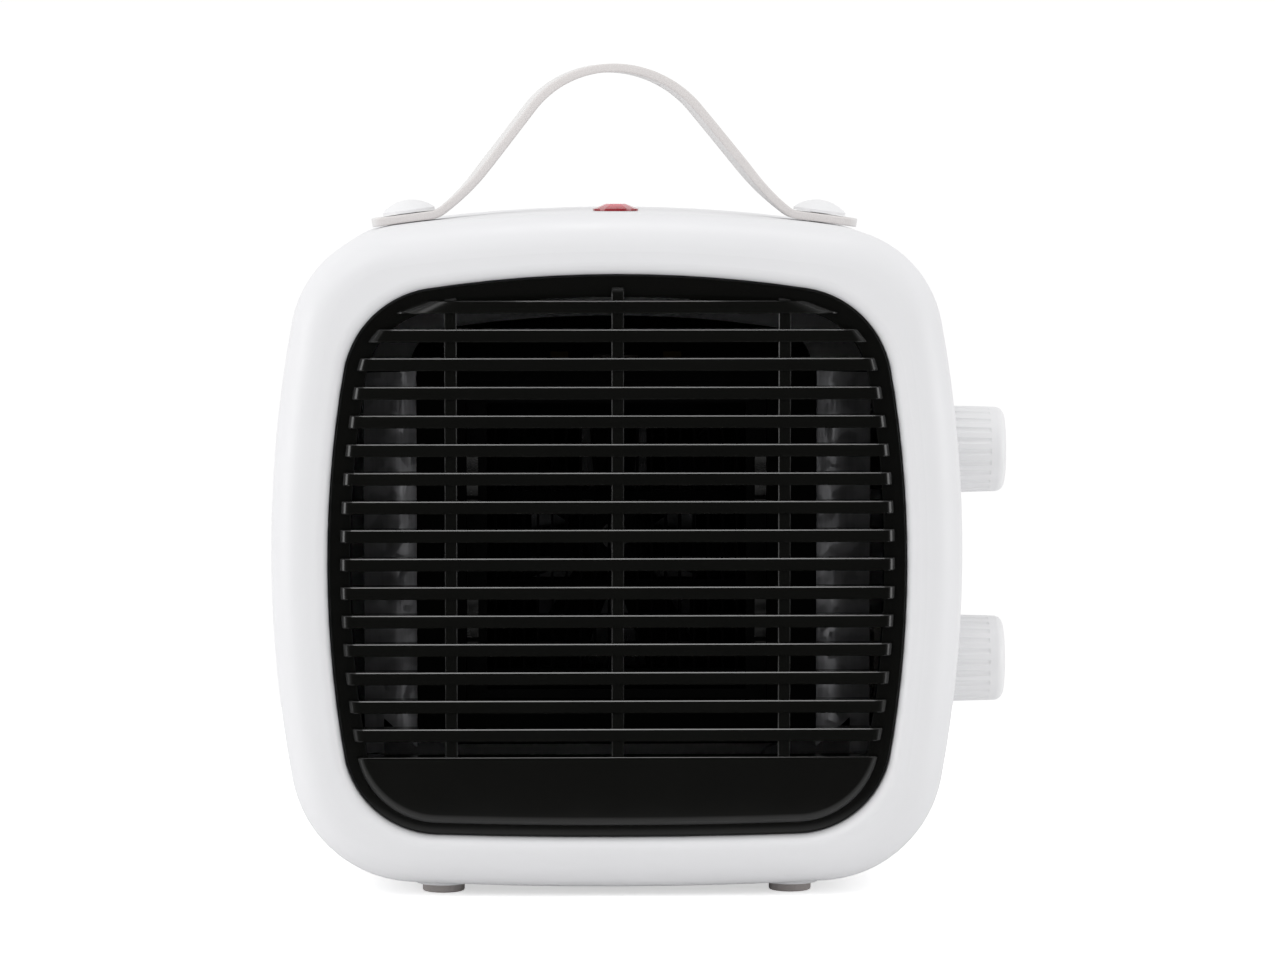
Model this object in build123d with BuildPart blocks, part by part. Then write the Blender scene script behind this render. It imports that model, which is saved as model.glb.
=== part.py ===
from build123d import *
from dataclasses import dataclass
from math import asin, cos, degrees, radians, sin, sqrt
import os

# Retro fan heater: a white two-part shell, a black slatted grille, a leather-look strap and two side knobs.
# Millimetres, +Z up. The front faces -Y and the knobs are on the +X side.
# Every piece is drawn about the shell's middle plane and then moved by centre_shift,
# so that the origin is the middle of the whole heater's footprint, on the floor.


# Outlines seen from the front: four bulging arcs whose meeting corners are rounded.
@dataclass
class Outline:
    half_width: float
    top: float
    bottom: float
    widest: float
    side_radius: float
    top_radius: float
    bottom_radius: float
    top_corner: float
    bottom_corner: float

    def top_at(self, x):
        """Height of the bulging top at a distance from the middle, away from the corners."""
        return self.top - self.top_radius + sqrt(self.top_radius**2 - x**2)

    def bottom_at(self, x):
        """Height of the bulging underside at a distance from the middle."""
        return self.bottom + self.bottom_radius - sqrt(self.bottom_radius**2 - x**2)


# Shell
depth = 150.0
floor_gap = 3.0
body = Outline(
    half_width=120.4,
    top=238.5,
    bottom=floor_gap,
    widest=119.0,
    side_radius=440.0,
    top_radius=570.0,
    bottom_radius=1350.0,
    top_corner=40.0,
    bottom_corner=44.0,
)
wall = 2.5
frame_side = 19.8
frame_top = 21.0
frame_bottom = 18.4
lip_radius = 4.2
least_flat = 0.3
bullnose_radius = min(13.2, min(frame_side, frame_top, frame_bottom) - lip_radius - least_flat)
rear_radius = 18.0
front_y = -depth / 2
rear_y = depth / 2
seam_y = 22.0
seam_chamfer = 0.5
tongue_length = 3.0
tongue_wall = 1.2
tongue_gap = 0.2
collar_depth = 9.0

window = Outline(
    half_width=body.half_width - frame_side,
    top=body.top - frame_top,
    bottom=body.bottom + frame_bottom,
    widest=body.widest - 3.0,
    side_radius=393.0,
    top_radius=437.0,
    bottom_radius=1950.0,
    top_corner=35.0,
    bottom_corner=33.5,
)

# Front grille
grille_gap = 0.3
ring_setback = 5.0
ring_edge_radius = 0.6
slat_front_y = front_y + 0.5
slat_end_radius = 3.6
pad_inset = 4.2
opening_inset = 8.0
slat_count = 16
slat_pitch = 9.9
slat_height = 4.4
top_slat_drop = 9.1
rib_width = 4.3
rib_spacing = 57.7
rib_setback = 1.5
rib_end_radius = 3.0
flange_overlap = 2.0
flange_thickness = 2.0
ring_front_y = front_y + ring_setback
collar_back_y = front_y + collar_depth
flange_back_y = collar_back_y + flange_thickness

# Screws and the bosses that take them
screw_radius = 1.5
pilot_radius = 1.3
screw_clearance = 0.25
pan_head_radius = 2.9
pan_head_height = 2.0
boss_radius = 3.5
grille_boss_x = 45.0
grille_screw_length = 7.0
control_screw_length = 4.5
pilot_spare = 0.5

# Corner posts that hold the two shell halves together
post_radius = 5.5
post_inset_x = 27.4
post_top_inset = 25.3
post_bottom_inset = 23.0
post_recess_radius = 3.6
post_seat_y = 36.0
post_screw_length = 30.0
post_x = body.half_width - post_inset_x
post_places = [(post_x, body.top - post_top_inset), (post_x, body.bottom + post_bottom_inset)]

# Feet
foot_radius = 7.4
foot_x = 61.0
foot_front_y = -50.0
foot_rear_y = 50.0
foot_pad_radius = 9.8
foot_pad_depth = 4.5
foot_post_radius = 4.5
foot_post_top = 16.0
foot_screw_length = 9.0
foot_recess_radius = 3.6
foot_recess_depth = 1.4
foot_edge_radius = 0.6
foot_head_depth = 0.4

# Strap and its caps
strap_thickness = 3.0
strap_width = 20.0
strap_gap = 0.3
strap_end_x = 86.8
strap_lift_x = 65.8
strap_foot_bend = 9.0
strap_foot_angle = 38.0
strap_limb_bend = 80.0
strap_rise_angle = 51.5
strap_top_bend = 38.0
cap_x = 73.3
cap_radius = 9.4
cap_height = 4.6
cap_rim = 1.0
cap_stem_radius = 3.2
cap_hole_clearance = 0.4
cap_plate_length = 16.0
cap_plate_outer = 3.5
cap_plate_width = 15.0
cap_plate_thickness = 1.2

# Signal lamp
lamp_y = -30.0
lens_radius = 8.1
lens_height = 2.4
lens_rim = 0.7
lens_facets = 12
lens_base_share = 0.96
lens_top_share = 0.45
lens_neck_radius = 6.2
lens_neck_length = 13.0
lens_wall = 1.1
lamp_body_length = 16.0
lamp_nut_height = 2.2
lamp_nut_radius = 9.0
fit_gap = 0.1

# Knobs on the right side
knob_radius = 15.6
knob_taper = 0.5
knob_length = 18.5
knob_gap = 0.8
knob_edge_radius = 3.2
knob_flutes = 24
flute_radius = 1.7
flute_depth = 0.7
knob_rim = 5.5
knob_y = -8.0
function_knob_z = 152.5
thermostat_knob_z = 77.0
shaft_radius = 3.0
shaft_clearance = 0.05
knob_bore_depth = 13.0
knob_wall = 2.2
shaft_hole_clearance = 1.5
knob_inner_x = body.half_width + knob_gap
knob_outer_x = knob_inner_x + knob_length

# The knobs reach out on one side, so the footprint's middle is not the shell's middle.
centre_shift = (body.half_width - knob_outer_x) / 2

# Controls behind the knobs
bracket_setback = 11.4
bracket_x = body.half_width - bracket_setback
bracket_thickness = 1.2
bracket_width = 32.0
bracket_end = 11.0
bracket_flange = 8.0
bracket_boss_overhang = 26.0
bush_radius = 4.8
bush_length = 4.2
switch_depth = 22.0
switch_side = 27.0
switch_corner_radius = 3.0
switch_tab_spacing = 8.0
thermostat_radius = 12.5
thermostat_depth = 14.0
thermostat_bar_width = 12.0
thermostat_bar_length = 30.0
thermostat_bar_thickness = 2.0
thermostat_tab_reach = 10.0
shaft_depth = 8.0
shaft_end_gap = 0.5
tab_width = 6.3
tab_thickness = 0.8
tab_length = 7.0

# Fan, motor and heater, on one axis behind the grille
axis_z = 121.0
duct_half_width = 70.0
duct_half_height = 66.0
duct_front_y = -50.0
duct_skirt = 9.0
duct_wall = 2.0
duct_plate_y = -22.0
duct_arm_inset = 28.0
duct_arm_x = body.half_width - duct_arm_inset
duct_arm_height = 10.0
duct_arm_drop = 65.0
duct_arm_rise = 59.0
tunnel_radius = 56.0
tunnel_back_y = 4.0
ledge = 3.0
ledge_y = -26.0

heater_half_width = 52.6
heater_half_height = 57.5
heater_depth = 20.0
heater_rim = 7.0
heater_gap = 0.3
heater_bars = 4
heater_bar_height = 7.0
heater_bar_depth = 11.0
heater_fins = 18
heater_fin_thickness = 0.8
clip_heights = (-25.0, 25.0)
clip_length = 14.0
clip_thickness = 0.8
clip_reach = 4.0
heater_frame_corner = 1.5
fin_bank_margin = 3.0
fin_setback = 0.5
heater_tab_x = 20.0
heater_tab_length = 8.0
device_setback = 9.0
fuse_radius = 2.1
fuse_start_x = -46.0
fuse_length = 14.0
cutout_base_width = 22.0
cutout_base_depth = 12.0
cutout_base_thickness = 1.0
cutout_radius = 8.0
cutout_height = 7.0
reflector_thickness = 0.8
reflector_bottom = -71.0
reflector_top = 62.0
reflector_outer_inset = 32.2
reflector_outer_x = body.half_width - reflector_outer_inset
reflector_grille_gap = 3.5
reflector_front_y = flange_back_y + reflector_grille_gap
reflector_flange = 8.0
reflector_land = 1.0
reflector_bend = 34.0
reflector_corner = 12.0

fan_radius = 53.0
fan_blades = 7
fan_hub_radius = 13.0
fan_front_y = 0.0
fan_depth = 14.0
fan_hub_wall = 2.5
fan_hub_edge = 2.5
blade_overlap = 2.0
fan_nut_radius = 5.0
fan_nut_height = 2.5
blade_thickness = 1.6
blade_root_chord = 16.0
blade_tip_chord = 22.0
blade_root_pitch = 42.0
blade_tip_pitch = 26.0
motor_shaft_radius = 2.5
motor_bracket_y = 17.0
motor_bracket_thickness = 1.6
motor_bracket_width = 24.0
motor_bracket_leg = 61.0
motor_plate_half_width = 30.0
motor_plate_half_height = 19.0
motor_standoff = 4.0
stator_depth = 18.0
stator_half_width = 28.0
stator_top = 20.0
stator_bottom = 42.0
stator_leg = 7.0
stator_window_top = 19.0
rotor_radius = 14.0
rotor_gap = 0.4
coil_half_width = 15.0
coil_wrap = 3.6
bearing_radius = 6.0
bearing_length = 6.0
end_plate_thickness = 1.5
motor_screw_x = 22.0
motor_screw_z = 13.0
bracket_foot_height = 10.0
bracket_foot_offset = 4.0
motor_plate_margin = 12.0
coil_corner_radius = 3.0
shaft_front_reach = 4.0
shaft_rear_reach = 5.0

# Rear intake and cord inlet
intake_inset = 22.0
intake_flange = 3.0
intake_slots = 12
intake_slot_height = 7.0
intake_pitch = 12.0
intake_rib_spacing = 38.0
intake_rib_width = 3.5
filter_inset = 20.0
filter_thickness = 1.5
gland_x = 62.0
gland_z = 30.0
gland_radius = 5.5
gland_flange_radius = 8.0
gland_flange = 1.6
gland_bore = 3.7
gland_inner_length = 6.0
terminal_width = 34.0
terminal_depth = 18.0
terminal_height = 13.0
terminal_x = 26.0
terminal_y = 48.0
terminal_pad_z = 8.0
terminal_hole_spacing = 10.0
terminal_hole_radius = 2.2
terminal_hole_depth = 4.0

# How far a cutting shape runs past what it cuts
overcut = 1.0


def at_depth(y):
    """Sketch plane facing the front, at a depth: its X is +X and its Y is +Z."""
    return Plane.XZ.offset(-y)


def draw_outline(shape, inset=0.0):
    """Draws an outline in the current sketch, moved in by inset."""
    side_x = shape.half_width - shape.side_radius
    with Locations((side_x, shape.widest)):
        Circle(shape.side_radius - inset)
    with Locations((-side_x, shape.widest)):
        Circle(shape.side_radius - inset, mode=Mode.INTERSECT)
    with Locations((0, shape.top - shape.top_radius)):
        Circle(shape.top_radius - inset, mode=Mode.INTERSECT)
    with Locations((0, shape.bottom + shape.bottom_radius)):
        Circle(shape.bottom_radius - inset, mode=Mode.INTERSECT)
    corners = vertices().sort_by(Axis.Y)
    fillet(corners[-2:], shape.top_corner - inset)
    corners = vertices().sort_by(Axis.Y)
    fillet(corners[:2], shape.bottom_corner - inset)


def block(shape, inset, start_y, end_y, end_radius=0.0):
    """Solid with an outline's section from one depth to another, with the far end's edge rounded."""
    with BuildPart() as solid:
        with BuildSketch(at_depth(start_y)):
            draw_outline(shape, inset)
        extrude(amount=start_y - end_y)
        if end_radius > 0:
            far_end = faces().sort_by(Axis.Y)[0 if end_y < start_y else -1]
            fillet(far_end.edges(), end_radius)
    return solid.part


def rod(plane, radius, length):
    """Round bar that starts on a plane and runs along its normal."""
    with BuildPart() as bar:
        with BuildSketch(plane):
            Circle(radius)
        extrude(amount=length)
    return bar.part


def drill(plane, radius, thickness):
    """Cutting shape for a hole through a wall that starts at a plane and runs along its normal."""
    return rod(plane.offset(-overcut), radius, thickness + 2 * overcut)


def slab(plane, width, height, length):
    """Rectangular bar that starts on a plane and runs along its normal."""
    with BuildPart() as bar:
        with BuildSketch(plane):
            Rectangle(width, height)
        extrude(amount=length)
    return bar.part


def plane_y(x, y, z, direction=1):
    """Plane at a point whose normal runs along Y."""
    return Plane(origin=(x, y, z), x_dir=(1, 0, 0), z_dir=(0, direction, 0))


def plane_x(x, y, z, direction=1):
    """Plane at a point whose normal runs along X."""
    return Plane(origin=(x, y, z), x_dir=(0, 1, 0), z_dir=(direction, 0, 0))


def plane_z(x, y, z, direction=1):
    """Plane at a point whose normal runs along Z."""
    return Plane(origin=(x, y, z), x_dir=(1, 0, 0), z_dir=(0, 0, direction))


def screws(planes, length, radius=screw_radius):
    """Group of pan-head screws: each plane lies under a head, with its normal out of the head."""
    with BuildPart() as group:
        for plane in planes:
            add(rod(plane, pan_head_radius, pan_head_height))
            add(rod(plane, radius, -length))
    return group.part


def save(piece, name):
    """Moves a piece into the heater's frame, labels it and writes it."""
    placed = piece.moved(Location((centre_shift, 0, 0)))
    placed.label = name
    export_step(placed, f"parts/{name}.step")


def both_sides(x_and_z):
    """The places given and their mirror images on the other side."""
    return [(side * x, z) for x, z in x_and_z for side in (1, -1)]


# Places where the grille is screwed to the front shell, midway across the frame.
grille_top_z = (body.top_at(grille_boss_x) - wall + window.top_at(grille_boss_x) + wall) / 2
grille_bottom_z = (body.bottom_at(grille_boss_x) + wall + window.bottom_at(grille_boss_x) - wall) / 2
grille_side_x = (body.half_width + window.half_width) / 2
grille_places = both_sides([
    (grille_boss_x, grille_top_z),
    (grille_boss_x, grille_bottom_z),
    (grille_side_x, window.widest),
])
duct_places = both_sides([
    (duct_arm_x, axis_z + duct_arm_rise),
    (duct_arm_x, axis_z - duct_arm_drop),
])
bracket_heights = (
    function_knob_z + bracket_boss_overhang,
    thermostat_knob_z - bracket_boss_overhang,
)


def cap_plane(side, lift=0.0):
    """Plane on the shell's top where a strap cap sits, tilted with the bulge."""
    tilt = asin(cap_x / body.top_radius)
    across = side * sin(tilt)
    radius = body.top_radius + lift
    middle = body.top - body.top_radius
    return Plane(
        origin=(across * radius, 0, middle + cos(tilt) * radius),
        x_dir=(cos(tilt), 0, -across),
        z_dir=(across, 0, cos(tilt)),
    )


def foot_pads(y):
    """Flat round pads under the shell for two feet, with a screw post above each."""
    with BuildPart() as pads:
        for x in (-foot_x, foot_x):
            add(rod(plane_z(x, y, floor_gap), foot_pad_radius, foot_pad_depth))
            add(rod(plane_z(x, y, floor_gap), foot_post_radius, foot_post_top - floor_gap))
    return pads.part


def foot_pilots(y):
    """Screw holes in the foot posts."""
    with BuildPart() as holes:
        for x in (-foot_x, foot_x):
            add(drill(plane_z(x, y, floor_gap), pilot_radius + screw_clearance, foot_screw_length))
    return holes.part


# Front shell: bullnose frame, inward lip round the window, bosses, and holes for lamp, caps and shafts.
def make_front_shell():
    inner_end = front_y + wall
    with BuildPart() as bosses:
        for x, z in grille_places:
            add(rod(plane_y(x, collar_back_y, z, -1), boss_radius, collar_depth))
        for x, z in both_sides(post_places):
            add(rod(plane_y(x, seam_y, z, -1), post_radius, seam_y - front_y))
        for z in bracket_heights:
            start = bracket_x + bracket_thickness
            add(rod(plane_x(start, knob_y, z), boss_radius, body.half_width - start))
        skin = block(body, wall / 2, seam_y, front_y + wall / 2, bullnose_radius - wall / 2)
        add(skin, mode=Mode.INTERSECT)

    with BuildPart() as shell:
        add(block(body, 0, seam_y, front_y, bullnose_radius))
        seam_edges = faces().sort_by(Axis.Y)[-1].edges()
        chamfer(seam_edges, seam_chamfer)
        add(block(body, wall, seam_y, inner_end, bullnose_radius - wall), mode=Mode.SUBTRACT)
        add(block(window, -wall, collar_back_y, front_y + wall / 2))
        add(bosses.part)
        add(foot_pads(foot_front_y))
        add(block(window, 0, seam_y, front_y - overcut), mode=Mode.SUBTRACT)
        front_face = faces().filter_by(Plane.XZ).sort_by(Axis.Y)[0]
        fillet(front_face.inner_wires()[0].edges(), lip_radius)
        for x, z in grille_places:
            start = plane_y(x, collar_back_y, z, -1)
            depth_in = grille_screw_length - flange_thickness + overcut
            pilot = rod(start, pilot_radius + screw_clearance, depth_in)
            add(pilot, mode=Mode.SUBTRACT)
        for x, z in both_sides(post_places):
            pilot = rod(plane_y(x, seam_y, z, -1), pilot_radius + screw_clearance, post_screw_length)
            add(pilot, mode=Mode.SUBTRACT)
        for z in bracket_heights:
            start = plane_x(bracket_x, knob_y, z)
            pilot = rod(start, pilot_radius + screw_clearance, control_screw_length + pilot_spare)
            add(pilot, mode=Mode.SUBTRACT)
        for z in (function_knob_z, thermostat_knob_z):
            start = plane_x(bracket_x + bush_length, knob_y, z)
            hole = rod(start, shaft_radius + shaft_hole_clearance, knob_length)
            add(hole, mode=Mode.SUBTRACT)
        for side in (-1, 1):
            hole_radius = cap_stem_radius + cap_hole_clearance
            add(rod(cap_plane(side, strap_gap), hole_radius, -3 * wall), mode=Mode.SUBTRACT)
        lamp_hole = rod(plane_z(0, lamp_y, body.top + 1), lens_neck_radius + fit_gap, -3 * wall)
        add(lamp_hole, mode=Mode.SUBTRACT)
        add(foot_pilots(foot_front_y), mode=Mode.SUBTRACT)
    return shell.part


# Rear shell: rounded back with the intake opening, a tongue inside the front shell, and screw posts.
def make_rear_shell():
    inner_end = rear_y - wall
    with BuildPart() as tongue:
        add(block(body, wall - tongue_gap, seam_y, seam_y + tongue_length))
        add(block(body, wall + tongue_gap, seam_y, seam_y - tongue_length))
        hollow_inset = wall + tongue_gap + tongue_wall
        reach = tongue_length + overcut
        cut = block(body, hollow_inset, seam_y - reach, seam_y + reach)
        add(cut, mode=Mode.SUBTRACT)

    with BuildPart() as posts:
        for x, z in both_sides(post_places):
            add(rod(plane_y(x, seam_y, z), post_radius, rear_y - seam_y))
        add(block(body, wall / 2, seam_y, rear_y - wall / 2, rear_radius - wall / 2), mode=Mode.INTERSECT)

    with BuildPart() as shell:
        add(block(body, 0, seam_y, rear_y, rear_radius))
        seam_edges = faces().sort_by(Axis.Y)[0].edges()
        chamfer(seam_edges, seam_chamfer)
        add(block(body, wall, seam_y, inner_end, rear_radius - wall), mode=Mode.SUBTRACT)
        add(tongue.part)
        add(posts.part)
        add(foot_pads(foot_rear_y))
        pad_height = terminal_pad_z - floor_gap - wall / 2
        pad_top = plane_z(terminal_x, terminal_y, terminal_pad_z, -1)
        add(slab(pad_top, terminal_width, terminal_depth, pad_height))
        add(block(window, intake_inset, inner_end - overcut, rear_y + overcut), mode=Mode.SUBTRACT)
        for x, z in both_sides(post_places):
            add(rod(plane_y(x, post_seat_y, z), post_recess_radius, rear_y), mode=Mode.SUBTRACT)
            passage = drill(plane_y(x, seam_y, z), screw_radius + screw_clearance, post_seat_y - seam_y)
            add(passage, mode=Mode.SUBTRACT)
        gland_hole = drill(plane_y(gland_x, inner_end, gland_z), gland_radius + fit_gap, wall)
        add(gland_hole, mode=Mode.SUBTRACT)
        add(foot_pilots(foot_rear_y), mode=Mode.SUBTRACT)
    return shell.part


# Front grille: ring and flange, slats and apron cut from one raised pad, ribs, and the duct's four posts.
def make_front_grille():
    opening_top = window.top - top_slat_drop
    apron_top = opening_top - slat_count * slat_pitch
    slat_middles = [opening_top - i * slat_pitch - slat_height / 2 for i in range(slat_count)]
    span = 2 * window.half_width

    with BuildPart() as slats:
        add(block(window, pad_inset, collar_back_y, slat_front_y, slat_end_radius))
        with BuildSketch(at_depth(collar_back_y)):
            with Locations([(0, z) for z in slat_middles]):
                Rectangle(span, slat_height)
            with Locations((0, apron_top)):
                Rectangle(span, apron_top - window.bottom, align=(Align.CENTER, Align.MAX))
        extrude(amount=collar_back_y - front_y, mode=Mode.INTERSECT)

    with BuildPart() as ribs:
        add(block(window, pad_inset, collar_back_y, slat_front_y + rib_setback, rib_end_radius))
        with BuildSketch(at_depth(collar_back_y)):
            with Locations((0, apron_top)):
                with GridLocations(rib_spacing, 1, 3, 1):
                    Rectangle(rib_width, span, align=(Align.CENTER, Align.MIN))
        extrude(amount=collar_back_y - front_y, mode=Mode.INTERSECT)

    with BuildPart() as grille:
        add(block(window, grille_gap, collar_back_y, ring_front_y, ring_edge_radius))
        add(block(window, -flange_overlap, flange_back_y, collar_back_y))
        add(block(window, opening_inset, flange_back_y + overcut, front_y - overcut), mode=Mode.SUBTRACT)
        for x, z in grille_places:
            add(rod(plane_y(x, collar_back_y, z), boss_radius, flange_thickness))
        bridges_z = (grille_top_z + grille_bottom_z) / 2
        for x in (-grille_boss_x, grille_boss_x):
            tall = slab(plane_y(x, collar_back_y, bridges_z), 2 * boss_radius, grille_top_z - grille_bottom_z,
                        flange_thickness)
            add(tall)
        middle = plane_y(0, collar_back_y, window.widest)
        add(slab(middle, 2 * grille_side_x, 2 * boss_radius, flange_thickness))
        add(block(window, opening_inset, flange_back_y + overcut, front_y - overcut), mode=Mode.SUBTRACT)
        add(slats.part)
        add(ribs.part)
        for x, z in duct_places:
            add(rod(plane_y(x, collar_back_y, z), boss_radius, duct_plate_y - collar_back_y))
        for x, z in duct_places:
            pilot = rod(plane_y(x, duct_plate_y, z, -1), pilot_radius + screw_clearance, grille_screw_length)
            add(pilot, mode=Mode.SUBTRACT)
        for x, z in grille_places:
            hole = drill(plane_y(x, collar_back_y, z), screw_radius + screw_clearance, flange_thickness)
            add(hole, mode=Mode.SUBTRACT)
    return grille.part


# Rear intake: a slotted panel flush with the back, with a flange that seats on the inside of the wall.
def make_rear_grille():
    inner_y = rear_y - wall
    with BuildPart() as grille:
        add(block(window, intake_inset + grille_gap, inner_y, rear_y - grille_gap, ring_edge_radius))
        add(block(window, intake_inset - intake_flange, inner_y, inner_y - flange_thickness))
        with BuildSketch(at_depth(rear_y)):
            draw_outline(window, intake_inset + opening_inset)
            with Locations((0, axis_z)):
                with GridLocations(1, intake_pitch, 1, intake_slots):
                    Rectangle(2 * window.half_width, intake_slot_height, mode=Mode.INTERSECT)
                with GridLocations(intake_rib_spacing, 1, 3, 1):
                    Rectangle(intake_rib_width, 2 * window.half_width, mode=Mode.SUBTRACT)
        extrude(amount=2 * (wall + flange_thickness), mode=Mode.SUBTRACT)
    return grille.part


# Dust filter: a thin foam mat that lies against the rear intake's flange.
def make_intake_filter():
    back = rear_y - wall - flange_thickness - fit_gap
    return block(window, filter_inset, back, back - filter_thickness)


# Strap: the tail follows the shell's top, then it bends up beside the cap, rises and turns over the top.
def make_strap():
    clear = strap_gap + strap_thickness / 2
    run_radius = body.top_radius + clear
    tail_radius = body.top_corner + clear
    lift_angle = asin(strap_lift_x / body.top_radius)
    rise = radians(strap_rise_angle)
    lift_x = sin(lift_angle) * run_radius
    lift_z = body.top - body.top_radius + cos(lift_angle) * run_radius
    foot_rise = radians(strap_foot_angle)
    bends = (
        strap_foot_bend * (sin(foot_rise) - sin(lift_angle))
        + strap_limb_bend * (sin(rise) - sin(foot_rise))
        + strap_top_bend * sin(rise)
    )
    straight = (lift_x - bends) / cos(rise)
    top_z = (
        lift_z
        + strap_foot_bend * (cos(lift_angle) - cos(foot_rise))
        + strap_limb_bend * (cos(foot_rise) - cos(rise))
        + straight * sin(rise)
        + strap_top_bend * (1 - cos(rise))
    )
    # Where the bulging top meets its rounded corner.
    corner_x = corner_centre_x()
    turn_angle = asin(corner_x / (body.top_radius - body.top_corner))
    end_angle = asin((strap_end_x - corner_x) / tail_radius)

    with BuildPart() as strap:
        with BuildSketch(Plane.XZ):
            with BuildLine():
                over = JernArc((0, top_z), (1, 0), strap_top_bend, -strap_rise_angle)
                limb = Line(over @ 1, over @ 1 + (over % 1) * straight)
                curve = JernArc(limb @ 1, limb % 1, strap_limb_bend, strap_rise_angle - strap_foot_angle)
                foot = JernArc(curve @ 1, curve % 1, strap_foot_bend, strap_foot_angle - degrees(lift_angle))
                run = JernArc(foot @ 1, foot % 1, run_radius, degrees(lift_angle - turn_angle))
                JernArc(run @ 1, run % 1, tail_radius, degrees(turn_angle - end_angle))
            trace(line_width=strap_thickness)
            mirror(about=Plane.YZ)
        extrude(amount=strap_width / 2, both=True)
        for side in (-1, 1):
            hole_radius = cap_stem_radius + cap_hole_clearance
            add(rod(cap_plane(side), hole_radius, 3 * strap_thickness), mode=Mode.SUBTRACT)
    return strap.part


def corner_centre_x():
    """Where the centre of the arc lies, from the middle, that rounds the shell's top right corner."""
    x1, z1 = body.half_width - body.side_radius, body.widest
    x2, z2 = 0.0, body.top - body.top_radius
    reach1 = body.side_radius - body.top_corner
    reach2 = body.top_radius - body.top_corner
    apart = sqrt((x2 - x1) ** 2 + (z2 - z1) ** 2)
    along = (reach1**2 - reach2**2 + apart**2) / (2 * apart)
    off = sqrt(reach1**2 - along**2)
    return x1 + ((x2 - x1) * along - (z2 - z1) * off) / apart


# Domed cap over each end of the strap, with a stem through the strap and the shell.
def make_cap(side):
    seat = 2 * strap_gap + strap_thickness
    base = cap_plane(side, seat)
    dome_rise = cap_height - cap_rim
    dome_radius = (cap_radius**2 + dome_rise**2) / (2 * dome_rise)
    with BuildPart() as cap:
        add(rod(base, cap_radius, cap_height))
        with Locations(base.offset(cap_height - dome_radius)):
            Sphere(dome_radius, mode=Mode.INTERSECT)
        add(rod(base, cap_stem_radius, -(seat + wall)))
        add(rod(cap_plane(side, -wall), pilot_radius + screw_clearance, wall + seat), mode=Mode.SUBTRACT)
    return cap.part


def make_cap_plate(side):
    """Steel plate inside the shell that spreads the strap's pull."""
    top = cap_plane(side, -wall - strap_gap)
    with BuildPart() as plate:
        with BuildSketch(top):
            with Locations((side * (cap_plate_outer - cap_plate_length / 2), 0)):
                Rectangle(cap_plate_length, cap_plate_width)
        extrude(amount=-cap_plate_thickness)
        add(rod(top, screw_radius + screw_clearance, -2 * cap_plate_thickness), mode=Mode.SUBTRACT)
    return plate.part


# Signal lamp: faceted lens on a hollow neck, the lamp inside it and a spring nut under the wall.
def make_lamp_lens():
    with BuildPart() as lens:
        seat = body.top + fit_gap
        add(rod(plane_z(0, lamp_y, seat), lens_radius, lens_rim))
        with BuildSketch(plane_z(0, lamp_y, seat + lens_rim)):
            RegularPolygon(lens_radius * lens_base_share, lens_facets)
        with BuildSketch(plane_z(0, lamp_y, seat + lens_height)):
            RegularPolygon(lens_radius * lens_top_share, lens_facets)
        loft()
        add(rod(plane_z(0, lamp_y, seat), lens_neck_radius, -lens_neck_length))
        inner_end = plane_z(0, lamp_y, seat - lens_neck_length)
        add(rod(inner_end, lens_neck_radius - lens_wall, lens_neck_length), mode=Mode.SUBTRACT)
    return lens.part


def make_lamp_body():
    top = body.top - wall
    return rod(plane_z(0, lamp_y, top), lens_neck_radius - lens_wall - fit_gap, -lamp_body_length)


def make_lamp_nut():
    """Ring that grips the neck under the wall."""
    with BuildPart() as nut:
        top = body.top - wall - fit_gap
        add(rod(plane_z(0, lamp_y, top), lamp_nut_radius, -lamp_nut_height))
        bore = drill(plane_z(0, lamp_y, top, -1), lens_neck_radius + fit_gap, lamp_nut_height)
        add(bore, mode=Mode.SUBTRACT)
    return nut.part


# Knob: tapered cylinder with flutes that stop short of a plain rounded rim, hollow behind, with a boss.
def make_knob(z):
    base = plane_x(knob_inner_x, knob_y, z)
    with BuildPart() as knob:
        with BuildSketch(base):
            Circle(knob_radius)
        with BuildSketch(base.offset(knob_length)):
            Circle(knob_radius - knob_taper)
        loft()
        outer_face = faces().sort_by(Axis.X)[-1]
        fillet(outer_face.edges(), knob_edge_radius)
        with BuildSketch(base):
            with PolarLocations(knob_radius + flute_radius - flute_depth, knob_flutes):
                Circle(flute_radius)
        extrude(amount=knob_length - knob_rim, mode=Mode.SUBTRACT)
        with BuildSketch(base):
            Circle(knob_radius - knob_wall - flute_depth)
            Circle(shaft_radius + knob_wall, mode=Mode.SUBTRACT)
        extrude(amount=knob_bore_depth, mode=Mode.SUBTRACT)
        with BuildSketch(base):
            Circle(shaft_radius + shaft_clearance)
        extrude(amount=knob_bore_depth, mode=Mode.SUBTRACT)
    return knob.part


def make_shaft(z):
    """Control shaft from inside the switch or thermostat to the knob's bore."""
    start = bracket_x - shaft_depth
    end = knob_inner_x + knob_bore_depth - 4 * shaft_clearance
    return rod(plane_x(start, knob_y, z), shaft_radius, end - start)


def shaft_bore(z):
    start = plane_x(bracket_x - shaft_depth - shaft_end_gap, knob_y, z)
    return rod(start, shaft_radius + shaft_clearance, knob_length)


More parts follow.
